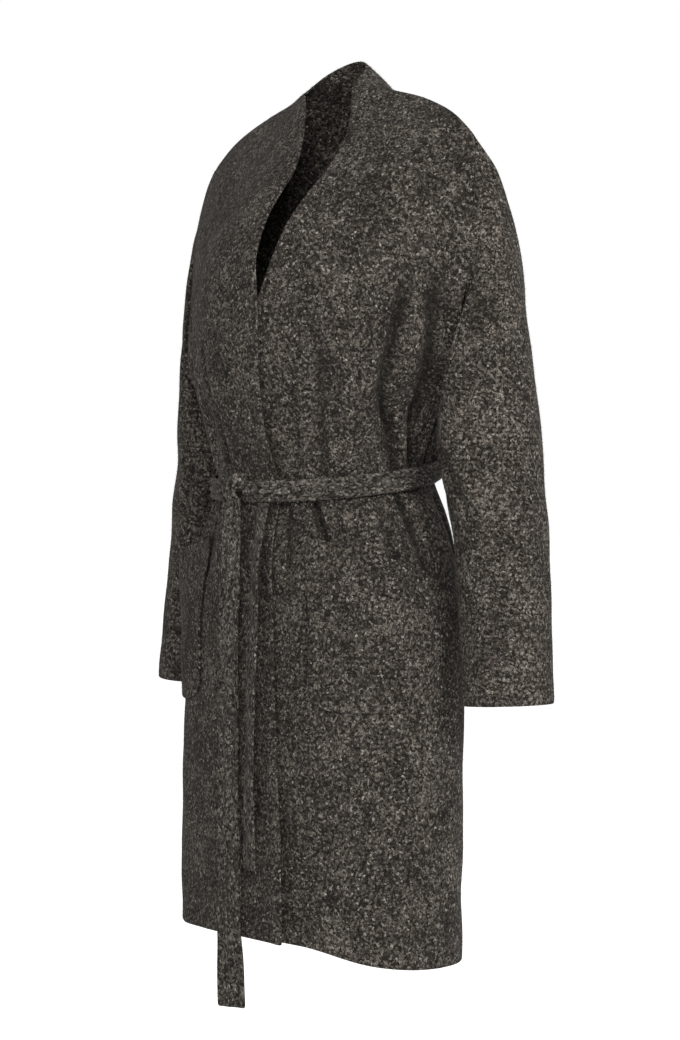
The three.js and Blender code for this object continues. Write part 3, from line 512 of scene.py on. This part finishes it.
def marl_group(mix: Mix) -> bpy.types.NodeTree:
    """Makes the shared group for a marled, brushed knit.

    Args:
        mix: How it mixes the yarns.

    Returns:
        A group with the yarns' colours and the grain as inputs, and Color, Height and Roughness out.
    """
    tree = bpy.data.node_groups.new("marl", "ShaderNodeTree")
    for name, kind in (
        ("Dark", "NodeSocketColor"), ("Middle", "NodeSocketColor"), ("Light", "NodeSocketColor"),
        ("Fleck", "NodeSocketColor"), ("Grain", "NodeSocketFloat"), ("Stretch", "NodeSocketVector"),
        ("Rows", "NodeSocketFloat"),
    ):
        tree.interface.new_socket(name, in_out="INPUT", socket_type=kind)
    for name, kind in (
        ("Color", "NodeSocketColor"), ("Height", "NodeSocketFloat"), ("Roughness", "NodeSocketFloat"),
    ):
        tree.interface.new_socket(name, in_out="OUTPUT", socket_type=kind)
    g = Graph(tree)
    given = g.add("NodeGroupInput").outputs
    place = g.add("ShaderNodeTexCoord").outputs["Object"]
    drawn = g.add("ShaderNodeVectorMath", {"operation": "MULTIPLY"}, _0=place, _1=given["Stretch"])
    wobble = g.add("ShaderNodeTexNoise", None, Vector=place, Scale=mix.bends, Detail=1.0).outputs["Color"]
    shift = g.add("ShaderNodeVectorMath", {"operation": "SCALE"}, _0=wobble, Scale=mix.bend).outputs[0]
    point = g.add("ShaderNodeVectorMath", {"operation": "ADD"}, _0=drawn.outputs[0], _1=shift).outputs[0]
    mottle = g.add(
        "ShaderNodeTexNoise", None, Vector=point, Scale=given["Grain"], Detail=3.0, Roughness=0.7,
    ).outputs[0]
    loops = g.add("ShaderNodeTexVoronoi", None, Vector=point, Scale=given["Grain"])
    chance = g.add("ShaderNodeSeparateColor", None, Color=loops.outputs["Color"]).outputs
    fine = g.add("ShaderNodeTexNoise", None, Vector=place, Scale=mix.hairs, Detail=2.0).outputs[0]
    broad = g.add("ShaderNodeTexNoise", None, Vector=place, Scale=mix.patches, Detail=5.0).outputs[0]
    tone = g.math("MULTIPLY", mottle, mix.mottle_tone)
    tone = g.math("ADD", tone, g.math("MULTIPLY", chance[0], mix.loop_tone))
    tone = g.math("ADD", tone, g.math("MULTIPLY", fine, mix.hair_tone))
    height_of = g.add("ShaderNodeSeparateXYZ", None, _0=place).outputs[2]
    row = g.math("SINE", g.math("MULTIPLY", height_of, 2 * math.pi / mix.row))
    tone = g.math("ADD", tone, g.math("MULTIPLY", row, g.math("MULTIPLY", given["Rows"], mix.row_tone)))
    tone = g.math("ADD", tone, g.math("MULTIPLY", g.math("SUBTRACT", broad, 0.5), mix.patch_tone))
    color = g.blend(g.step(tone, *mix.middle_step), given["Dark"], given["Middle"])
    color = g.blend(g.step(tone, *mix.light_step), color, given["Light"])
    pale = g.math("MULTIPLY", g.step(chance[1], *mix.fleck_step), g.step(mottle, *mix.fleck_mottle))
    color = g.blend(pale, color, given["Fleck"])
    black = g.math("MULTIPLY", g.step(chance[2], *mix.black_step), mix.black_share)
    color = g.blend(black, color, given["Dark"])
    bead = g.math("SUBTRACT", 1.0, g.math("MULTIPLY", loops.outputs["Distance"], mix.bead_fall))
    height = g.math("MULTIPLY", bead, mix.bead_height)
    height = g.math("ADD", height, g.math("MULTIPLY", mottle, mix.mottle_height))
    height = g.math("ADD", height, g.math("MULTIPLY", row, given["Rows"]))
    height = g.math("ADD", height, g.math("MULTIPLY", fine, mix.hair_height))
    rough = g.math("ADD", mix.rough, g.math("MULTIPLY", fine, mix.hair_rough))
    g.add("NodeGroupOutput", None, Color=color, Height=height, Roughness=rough)
    return tree


PAINTED_FOLD_SHADE = 0.75  # how far the deepest folds are darkened towards the darkest yarn, as painted shade
RELIEF_SHARE = 0.8  # how much of the stitches' relief shows
SHEEN_TINT = (0.75, 0.70, 0.64)
SHEEN_ROUGHNESS = 0.5
GLOSS = 0.15


def knit_material(finish: Finish, marl: bpy.types.NodeTree) -> bpy.types.Material:
    """Makes a knit's material, with painted shade in its deep folds.

    Args:
        finish: Its yarns and stitches.
        marl: The shared group.

    Returns:
        The material.
    """
    material = bpy.data.materials.new(finish.name)
    material.use_nodes = True
    material.node_tree.nodes.clear()
    g = Graph(material.node_tree)
    knit = g.add(
        "ShaderNodeGroup", {"node_tree": marl}, Dark=(*finish.dark, 1), Middle=(*finish.middle, 1),
        Light=(*finish.light, 1), Fleck=(*finish.fleck, 1), Grain=finish.grain, Stretch=finish.stretch,
        Rows=finish.rows,
    )
    bump = g.add(
        "ShaderNodeBump", None, Strength=RELIEF_SHARE, Distance=finish.relief, Height=knit.outputs["Height"],
    )
    # Painted shade: the colour goes towards the darkest yarn where the folds are deep.
    painted_fold_shade = g.add("ShaderNodeAttribute", {"attribute_name": "painted_fold_shade"}).outputs["Fac"]
    color = g.blend(g.math("MULTIPLY", painted_fold_shade, PAINTED_FOLD_SHADE), knit.outputs["Color"], (*finish.dark, 1))
    shader = g.add(
        "ShaderNodeBsdfPrincipled", None, Base_Color=color,
        Roughness=knit.outputs["Roughness"], Normal=bump.outputs[0],
    )
    shader.inputs["Sheen Weight"].default_value = finish.sheen
    shader.inputs["Sheen Roughness"].default_value = SHEEN_ROUGHNESS
    shader.inputs["Sheen Tint"].default_value = (*SHEEN_TINT, 1)
    shader.inputs["Specular IOR Level"].default_value = GLOSS
    g.add("ShaderNodeOutputMaterial", None, Surface=shader.outputs[0])
    return material


@dataclass
class ClothPiece:
    """One cut piece of cloth, smoothed from its solid and creased.

    Attributes:
        node: The solid's node, and with _cloth added the piece's name.
        finish: Its finish.
        region: What it wraps round.
        levels: How many times it is subdivided.
        flat: Width and length of its cut; not used.
        area: Flat area of its cut, in square metres; not used.
        held: How it is held; not used.
        rests_on: What it hangs from or lies on; not used.
        fibres: How many loose fibres stand out of it.
        creases: The creases laid in it.
        grooves: Its lengthwise grooves, if it is a bunched strip.
        waves: Height of its unevenness.
        piece: The fine cloth, once it is built.
    """

    node: str
    finish: Finish
    region: Region
    levels: int
    flat: tuple[float, float]
    area: float
    held: str
    rests_on: tuple[str, ...]
    fibres: int
    creases: tuple[Crease, ...] = ()
    grooves: Grooves | None = None
    waves: float = 0.0007
    piece: bpy.types.Object | None = field(default=None, repr=False)

    def build(self, neighbours: KDTree) -> bpy.types.Object:
        """Makes the fine mesh.

        Args:
            neighbours: Points of all sewn solids, each with its piece's number.

        Returns:
            The piece.
        """
        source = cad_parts[self.node]
        mesh = source.data.copy()
        if mesh.has_custom_normals:
            mesh.attributes.remove(mesh.attributes["custom_normal"])
        bm = bmesh.new()
        bm.from_mesh(mesh)
        bmesh.ops.remove_doubles(bm, verts=bm.verts, dist=WELD)
        bmesh.ops.join_triangles(
            bm, faces=bm.faces, angle_face_threshold=QUAD_BEND, angle_shape_threshold=QUAD_SKEW,
        )
        if self.grooves:
            self.cut_across(bm)
        self.keep_edges(bm, neighbours)
        bm.to_mesh(mesh)
        bm.free()
        piece = bpy.data.objects.new(self.node + "_cloth", mesh)
        bpy.context.scene.collection.objects.link(piece)
        modifier = piece.modifiers.new("fine", "SUBSURF")
        modifier.levels = self.levels
        modifier.render_levels = self.levels
        shown = piece.evaluated_get(bpy.context.evaluated_depsgraph_get())
        piece.data = bpy.data.meshes.new_from_object(shown)
        piece.modifiers.clear()
        self.shape(piece.data)
        piece.data.shade_smooth()
        self.piece = piece
        log.info("%s: %d faces", piece.name, len(piece.data.polygons))
        return piece

    def cut_across(self, bm: bmesh.types.BMesh) -> None:
        """Divides a strip's faces across its width, so that they can take its grooves.

        Args:
            bm: The strip's mesh, welded.
        """
        edges = []
        for edge in bm.edges:
            span = edge.verts[1].co - edge.verts[0].co
            upright = abs(span.z) > UPRIGHT * span.length
            if span.length > STRIP_EDGE and upright is not self.grooves.hangs:
                edges.append(edge)
        bmesh.ops.subdivide_edges(bm, edges=edges, cuts=STRIP_CUTS, use_grid_fill=True)

    def keep_edges(self, bm: bmesh.types.BMesh, neighbours: KDTree) -> None:
        """Closes sewn edges and keeps them sharp, and lets free edges roll.

        Args:
            bm: The solid's mesh, welded.
            neighbours: Points of all sewn solids, each with its piece's number.
        """
        crease = bm.edges.layers.float.new("crease_edge")
        meets = {vertex: nearest_other(vertex.co, self.node, neighbours) for vertex in bm.verts}
        for edge in bm.edges:
            if len(edge.link_faces) != 2 or edge.calc_face_angle() < SHARP_EDGE:
                continue
            sewn = all(meets[vertex] is not None for vertex in edge.verts)
            edge[crease] = SEAM_CREASE if sewn else FREE_CREASE
        for vertex, other in meets.items():
            if other is not None:
                vertex.co = vertex.co.lerp(other, 0.5)

    def shape(self, mesh: bpy.types.Mesh) -> None:
        """Lays the creases, grooves and unevenness in the cloth, and stores how deep its folds are as a mask
        for painted shade.

        Args:
            mesh: The fine mesh, changed in place.
        """
        points = np.zeros(len(mesh.vertices) * 3)
        mesh.vertices.foreach_get("co", points)
        points = points.reshape(-1, 3)
        away, _ = outward(points, self.region)
        out = unevenness(points, WAVE_LENGTH, self.waves, WAVE_SEED)
        if self.creases:
            folds = crease_depth(points, self.region, self.creases)
            out += folds
            # Mask of painted shade, full in the deepest folds.
            painted_fold_shade = mesh.attributes.new("painted_fold_shade", "FLOAT", "POINT")
            painted_fold_shade.data.foreach_set("value", np.clip(-folds / FOLD_DEPTH_FOR_FULL_SHADE, 0, 1))
        if self.grooves:
            out += ridge_height(points, self.grooves)
        points += away * out[:, None]
        mesh.vertices.foreach_set("co", points.ravel())
        mesh.update()

    def finish_with(self, material: bpy.types.Material) -> None:
        """Args:
            material: The knit.
        """
        self.piece.data.materials.clear()
        self.piece.data.materials.append(material)
        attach(self.piece, "root")
        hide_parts(self.node)


SEWN = ("left_front", "right_front", "back", "collar", "left_sleeve", "right_sleeve")


def sewn_points() -> KDTree:
    """Gathers the points of the sewn solids.

    Returns:
        A tree of points, each with its piece's number in SEWN.
    """
    count = sum(len(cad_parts[name].data.vertices) for name in SEWN)
    tree = KDTree(count)
    for number, name in enumerate(SEWN):
        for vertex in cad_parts[name].data.vertices:
            tree.insert(vertex.co, number)
    tree.balance()
    return tree


def nearest_other(point: Vector, node: str, neighbours: KDTree) -> Vector | None:
    """The point of another sewn piece that comes up to this one.

    Args:
        point: A point of a solid.
        node: That solid's node.
        neighbours: Points of all sewn solids, each with its piece's number.

    Returns:
        The other piece's closest point, or None away from the seams.
    """
    if node not in SEWN:
        return None
    own = SEWN.index(node)
    others = [found for found in neighbours.find_range(point, SEAM_REACH) if found[1] != own]
    return min(others, key=lambda found: found[2])[0] if others else None


FIBRE_LENGTH = (1.5, 4.5)  # millimetres, shortest and longest
FIBRE_LIFT = (0.1, 0.6)  # least and most rise, as a share of its run
FIBRE_HALF_WIDTH = 0.085  # millimetres
FIBRE_ROOT = 0.2  # millimetres under the cloth's surface
FIBRE_MIDDLE = (0.5, 0.75)  # where its middle lies, as shares of its run and its rise
FIBRE_TIP = 0.9  # where its tip lies, as a share of both
OUTER_FACE = -0.1  # a face turned further inwards than this carries no fibres


def add_fibres(cloth: ClothPiece, material: bpy.types.Material, seed: int) -> bpy.types.Object:
    """Stands loose fibres out of a piece's outside, as brushed yarn has.

    Args:
        cloth: The piece.
        material: The fibres' material.
        seed: Which set of fibres.

    Returns:
        One object with all its fibres.
    """
    rng = np.random.default_rng(seed)
    mesh = cloth.piece.data
    mesh.calc_loop_triangles()
    corners = np.zeros(len(mesh.loop_triangles) * 3, np.int32)
    mesh.loop_triangles.foreach_get("vertices", corners)
    points = np.zeros(len(mesh.vertices) * 3)
    mesh.vertices.foreach_get("co", points)
    faces = points.reshape(-1, 3)[corners.reshape(-1, 3)]
    normals = np.cross(faces[:, 1] - faces[:, 0], faces[:, 2] - faces[:, 0])
    areas = np.linalg.norm(normals, axis=1)
    normals /= np.maximum(areas, 1e-12)[:, None]
    away, _ = outward(faces.mean(axis=1), cloth.region)
    outer = (normals * away).sum(axis=1) > OUTER_FACE
    chance = areas * outer
    picked = rng.choice(len(faces), cloth.fibres, p=chance / chance.sum())
    share = rng.dirichlet((1, 1, 1), cloth.fibres)
    root = (faces[picked] * share[:, :, None]).sum(axis=1)
    normal = normals[picked]
    lie = np.cross(normal, rng.normal(size=(cloth.fibres, 3)))
    lie /= np.maximum(np.linalg.norm(lie, axis=1, keepdims=True), 1e-9)
    length = rng.uniform(*FIBRE_LENGTH, (cloth.fibres, 1)) * MM
    lift = rng.uniform(*FIBRE_LIFT, (cloth.fibres, 1))
    across = np.cross(normal, lie) * FIBRE_HALF_WIDTH * MM
    middle = root + (lie * FIBRE_MIDDLE[0] + normal * lift * FIBRE_MIDDLE[1]) * length
    tip = root + (lie + normal * lift) * length * FIBRE_TIP
    base = root - normal * FIBRE_ROOT * MM
    outline = [base - across, base + across, middle + across, middle - across, tip]
    vertices = np.stack(outline, 1).reshape(-1, 3)
    first = np.arange(cloth.fibres)[:, None] * len(outline)
    quads = (first + np.array([0, 1, 2, 3])).tolist()
    ends = (first + np.array([3, 2, 4])).tolist()
    fibres = bpy.data.meshes.new(cloth.node + "_fibres")
    fibres.from_pydata(vertices.tolist(), [], quads + ends)
    fibres.materials.append(material)
    hair = bpy.data.objects.new(cloth.node + "_fibres", fibres)
    bpy.context.scene.collection.objects.link(hair)
    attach(hair, "root")
    log.info("%s: %d fibres", hair.name, cloth.fibres)
    return hair


@dataclass(frozen=True)
class KnotTurn:
    """One turn of the bunched belt in its knot.

    Attributes:
        name: The piece's name.
        path: Its middle from end to end, as shares of the knot's half size along X, Y and Z.
        width: Its width as bunched.
        thick: Its thickness.
        grooves: How many grooves run along it.
        groove_depth: Their depth, as a share of its half thickness.
        groove_half_width: Half their width, as a share of the step from one to the next.
        roundness: How round its section is; 1 is an ellipse, and less is squarer.
        taper: How much narrower its ends are, as a share of its width.
        behind: The point that its outside faces away from, in half depths behind the knot's middle.
        sides: Points round its section.
        steps: Sections along it.
    """

    name: str
    path: tuple[tuple[float, float, float], ...]
    width: float
    thick: float
    grooves: int = 3
    groove_depth: float = 0.3
    groove_half_width: float = 0.16
    roundness: float = 0.7
    taper: float = 0.25
    behind: float = 1.2
    sides: int = 40
    steps: int = 48

    def build(self, material: bpy.types.Material) -> bpy.types.Object:
        """Makes the turn where the solid knot is.

        Args:
            material: The belt's knit.

        Returns:
            The piece.
        """
        corners = np.array([vertex.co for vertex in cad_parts["belt_knot"].data.vertices])
        low, high = corners.min(axis=0), corners.max(axis=0)
        centre, half = (low + high) / 2, (high - low) / 2
        middle = centre + self.smooth_path() * half
        ahead = np.gradient(middle, axis=0)
        ahead /= np.linalg.norm(ahead, axis=1, keepdims=True)
        out = middle - (centre + (0, half[1] * self.behind, 0))
        out -= (out * ahead).sum(axis=1, keepdims=True) * ahead
        out /= np.linalg.norm(out, axis=1, keepdims=True)
        wide = np.cross(ahead, out)
        turn = np.linspace(0, 2 * math.pi, self.sides, endpoint=False)
        flat = np.sign(np.cos(turn)) * np.abs(np.cos(turn)) ** self.roundness * self.width / 2
        bulge = np.sin(turn) * self.thick / 2
        valley = np.abs(flat / self.width * self.grooves % 1 - 0.5)
        ridge = 1 - self.groove_depth * bell(valley, self.groove_half_width)
        bulge = np.where(bulge > 0, bulge * ridge, bulge)
        taper = 1 - self.taper * np.abs(np.linspace(-1, 1, self.steps)) ** 3
        points = (
            middle[:, None] + wide[:, None] * (taper[:, None] * flat)[:, :, None]
            + out[:, None] * (taper[:, None] * bulge)[:, :, None]
        )
        ring = np.arange(self.sides)
        following = (ring + 1) % self.sides
        first = np.arange(self.steps - 1)[:, None] * self.sides
        faces = np.stack(
            [first + ring, first + following, first + following + self.sides, first + ring + self.sides], 2,
        ).reshape(-1, 4).tolist()
        ends = [ring[::-1].tolist(), (ring + (self.steps - 1) * self.sides).tolist()]
        mesh = bpy.data.meshes.new(self.name)
        mesh.from_pydata(points.reshape(-1, 3).tolist(), [], faces + ends)
        mesh.shade_smooth()
        mesh.materials.append(material)
        piece = bpy.data.objects.new(self.name, mesh)
        bpy.context.scene.collection.objects.link(piece)
        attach(piece, "root")
        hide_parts("belt_knot")
        log.info("%s: %d faces", piece.name, len(mesh.polygons))
        return piece

    def smooth_path(self) -> np.ndarray:
        """Rounds the path's corners.

        Returns:
            Points along it, one to a row, as shares of the knot's half size.
        """
        given = np.array(self.path)
        place = np.linspace(0, len(given) - 1, self.steps)
        line = np.stack([np.interp(place, np.arange(len(given)), given[:, k]) for k in range(3)], 1)
        reach = self.steps // (2 * len(given)) + 2
        padded = np.concatenate([
            2 * line[0] - line[reach:0:-1], line, 2 * line[-1] - line[-2:-reach - 2:-1],
        ])
        weights = np.hanning(2 * reach + 1)
        weights /= weights.sum()
        return np.stack([np.convolve(padded[:, k], weights, "valid") for k in range(3)], 1)


# The belt drawn through, and the two arms over it that run down into the hanging ends.
KNOT = (
    KnotTurn(
        "knot_drawn_through",
        ((-1.05, 0.5, 0.1), (-0.5, 0.0, 0), (0.4, 0.0, 0), (1.15, 0.4, 0.1)),
        width=0.017, thick=0.009,
    ),
    KnotTurn(
        "knot_left_arm",
        ((-0.95, 0.1, 0.75), (-0.5, -0.7, 0.5), (-0.1, -0.85, -0.1), (0.0, -0.6, -0.9), (0.0, -0.2, -1.3)),
        width=0.013, thick=0.007,
    ),
    KnotTurn(
        "knot_right_arm",
        ((1.05, 0.2, 0.55), (0.7, -0.5, 0.6), (0.35, -0.85, 0.1), (0.3, -0.7, -0.7), (0.35, -0.2, -1.25)),
        width=0.012, thick=0.007,
    ),
)


@dataclass(frozen=True)
class Lamp:
    """A round, soft light.

    Attributes:
        name: Its name.
        place: Where it stands.
        size: Its width.
        power: Its power, in watts.
    """

    name: str
    place: tuple[float, float, float]
    size: float
    power: float


@dataclass(frozen=True)
class Studio:
    """Camera, floor and soft light.

    Attributes:
        turn: The camera's angle round the body, in degrees.
        distance: From the middle of the body to the camera.
        height: The camera's height.
        scale: Metres to a pixel of the photograph at the middle of the body.
        frame_size: Width and height of the photograph.
        middle_x: Where the middle of the body lies across the photograph.
        horizon_y: Where the camera's height lies down the photograph.
        floor_z: The floor's height, as far down as a wearer's feet.
        room: How bright the room's walls are on the cloth, beside the white background.
        floor_reach: Half the floor's width.
        floor_shade: The floor's paleness.
        floor_glow: What the camera sees of the floor beyond the light on it.
        aim: What the lamps point at.
        lamps: The lamps.
    """

    turn: float = 47.0
    distance: float = 3.0
    height: float = -0.423
    scale: float = 0.00112
    frame_size: tuple[int, int] = (680, 1040)
    middle_x: float = 322.0
    horizon_y: float = 475.0
    floor_z: float = -1.38
    room: float = 0.54
    floor_reach: float = 30.0
    floor_shade: float = 0.97
    floor_glow: float = 0.6
    aim: tuple[float, float, float] = (0, 0, -0.45)
    lamps: tuple[Lamp, ...] = (
        Lamp("key", (3.25, -0.8, 1.1), 0.8, 70.0),
        Lamp("fill", (2.35, -2.2, 0.8), 1.2, 60.0),
        Lamp("back", (-1.6, 3.0, 1.0), 1.8, 14.0),
    )

    def build(self) -> None:
        """Makes the camera, the floor, the lights and the background."""
        self.add_camera()
        self.add_floor()
        self.add_lights()
        scene = bpy.context.scene
        scene.view_settings.view_transform = "Standard"
        world = bpy.data.worlds.new("pale")
        world.use_nodes = True
        g = Graph(world.node_tree)
        seen = g.add("ShaderNodeLightPath").outputs["Is Camera Ray"]
        background = world.node_tree.nodes["Background"]
        shade = g.blend(seen, (self.room, self.room, self.room, 1), (1, 1, 1, 1))
        world.node_tree.links.new(shade, background.inputs["Color"])
        background.inputs["Strength"].default_value = 1.0
        scene.world = world

    def add_camera(self) -> None:
        """Makes the camera at the photograph's angle."""
        width, height = self.frame_size
        data = bpy.data.cameras.new("camera")
        data.lens = data.sensor_width * self.distance / (self.scale * height)
        data.shift_x = (width / 2 - self.middle_x) / height
        data.shift_y = -(height / 2 - self.horizon_y) / height
        camera = bpy.data.objects.new("camera", data)
        turn = math.radians(self.turn)
        camera.location = (math.sin(turn) * self.distance, -math.cos(turn) * self.distance, self.height)
        camera.rotation_euler = Euler((math.pi / 2, 0, turn))
        bpy.context.scene.collection.objects.link(camera)
        bpy.context.scene.camera = camera

    def add_floor(self) -> None:
        """Makes the plain pale floor."""
        mesh = bpy.data.meshes.new("floor")
        reach = self.floor_reach
        signs = ((-1, -1), (1, -1), (1, 1), (-1, 1))
        corners = [(x * reach, y * reach, self.floor_z) for x, y in signs]
        mesh.from_pydata(corners, [], [(0, 1, 2, 3)])
        material = bpy.data.materials.new("floor")
        material.use_nodes = True
        shader = material.node_tree.nodes["Principled BSDF"]
        shader.inputs["Base Color"].default_value = (*[self.floor_shade] * 3, 1)
        seen = material.node_tree.nodes.new("ShaderNodeLightPath").outputs["Is Camera Ray"]
        material.node_tree.links.new(seen, shader.inputs["Emission Color"])
        shader.inputs["Emission Strength"].default_value = self.floor_glow
        shader.inputs["Roughness"].default_value = 1.0
        shader.inputs["Specular IOR Level"].default_value = 0.0
        mesh.materials.append(material)
        floor = bpy.data.objects.new("floor", mesh)
        bpy.context.scene.collection.objects.link(floor)

    def add_lights(self) -> None:
        """Makes the key lamp at the wearer's left, a softer one nearer the front and a weak one behind."""
        for lamp in self.lamps:
            data = bpy.data.lights.new(lamp.name, "AREA")
            data.shape = "DISK"
            data.size = lamp.size
            data.energy = lamp.power
            light = bpy.data.objects.new(lamp.name, data)
            light.location = lamp.place
            aim = Vector(self.aim) - Vector(lamp.place)
            light.rotation_euler = aim.to_track_quat("-Z", "Y").to_euler()
            bpy.context.scene.collection.objects.link(light)


PIECES = (
    ClothPiece(
        "left_front", KNIT, Region.BODY, levels=3, flat=(0.34, 0.98), area=0.237, held="hung",
        rests_on=("back",), creases=BODY_CREASES, fibres=16000,
    ),
    ClothPiece(
        "right_front", KNIT, Region.BODY, levels=3, flat=(0.36, 0.98), area=0.271, held="hung",
        rests_on=("back",), creases=BODY_CREASES, fibres=14000,
    ),
    ClothPiece(
        "back", KNIT, Region.BODY, levels=2, flat=(0.56, 0.98), area=0.424, held="hung",
        rests_on=("left_front",), creases=BODY_CREASES, fibres=14000,
    ),
    ClothPiece(
        "collar", KNIT, Region.BODY, levels=3, flat=(0.24, 0.08), area=0.0125, held="hung",
        rests_on=("back",), fibres=2500,
    ),
    ClothPiece(
        "left_sleeve", SLEEVE_KNIT_PAINTED_LIGHTER, Region.LEFT_ARM, levels=3, flat=(0.4, 0.6), area=0.1425, held="hung",
        rests_on=("left_front",), creases=ARM_CREASES, fibres=14000,
    ),
    ClothPiece(
        "right_sleeve", SLEEVE_KNIT_PAINTED_LIGHTER, Region.RIGHT_ARM, levels=3, flat=(0.4, 0.6), area=0.1425, held="hung",
        rests_on=("right_front",), creases=ARM_CREASES, fibres=10000,
    ),
    ClothPiece(
        "left_pocket", KNIT, Region.BODY, levels=3, flat=(0.15, 0.19), area=0.0254, held="hung",
        rests_on=("left_front",), fibres=4000,
    ),
    ClothPiece(
        "right_pocket", KNIT, Region.BODY, levels=3, flat=(0.16, 0.19), area=0.0271, held="hung",
        rests_on=("right_front",), fibres=4000,
    ),
    ClothPiece(
        "belt", BELT_ROUND, Region.BODY, levels=2, flat=(0.03, 0.7), area=0.02, held="stretched",
        rests_on=("back",), grooves=Grooves(hangs=False, pitch=0.0085, height=0.0026, wander=0.0016),
        fibres=4000,
    ),
    ClothPiece(
        "belt_tail_long", BELT_DOWN, Region.BODY, levels=2, flat=(0.034, 0.56), area=0.0185, held="hung",
        rests_on=("belt",), grooves=Grooves(hangs=True, pitch=0.017, height=0.0011, wander=0.0012),
        fibres=3000,
    ),
    ClothPiece(
        "belt_tail_short", BELT_DOWN, Region.BODY, levels=2, flat=(0.027, 0.4), area=0.0105, held="hung",
        rests_on=("belt",), grooves=Grooves(hangs=True, pitch=0.0135, height=0.0012, wander=0.001),
        fibres=2000,
    ),
)


def main() -> None:
    """Builds the cardigan and the studio."""
    logging.basicConfig(level=logging.INFO, format="%(name)s: %(message)s")
    marl = marl_group(Mix())
    materials = {
        finish.name: knit_material(finish, marl)
        for finish in (KNIT, SLEEVE_KNIT_PAINTED_LIGHTER, BELT_ROUND, BELT_DOWN, THREAD)
    }
    neighbours = sewn_points()
    for number, cloth in enumerate(PIECES):
        cloth.build(neighbours)
        cloth.finish_with(materials[cloth.finish.name])
        add_fibres(cloth, materials[cloth.finish.name], number)
    for turn in KNOT:
        turn.build(materials[BELT_DOWN.name])
    for node in ("left_belt_loop", "right_belt_loop"):
        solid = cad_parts[node]
        solid.data.materials.clear()
        solid.data.materials.append(materials[THREAD.name])
        log.info("%s: in %s", node, THREAD.name)
    Studio().build()


if __name__ == "__main__":
    main()
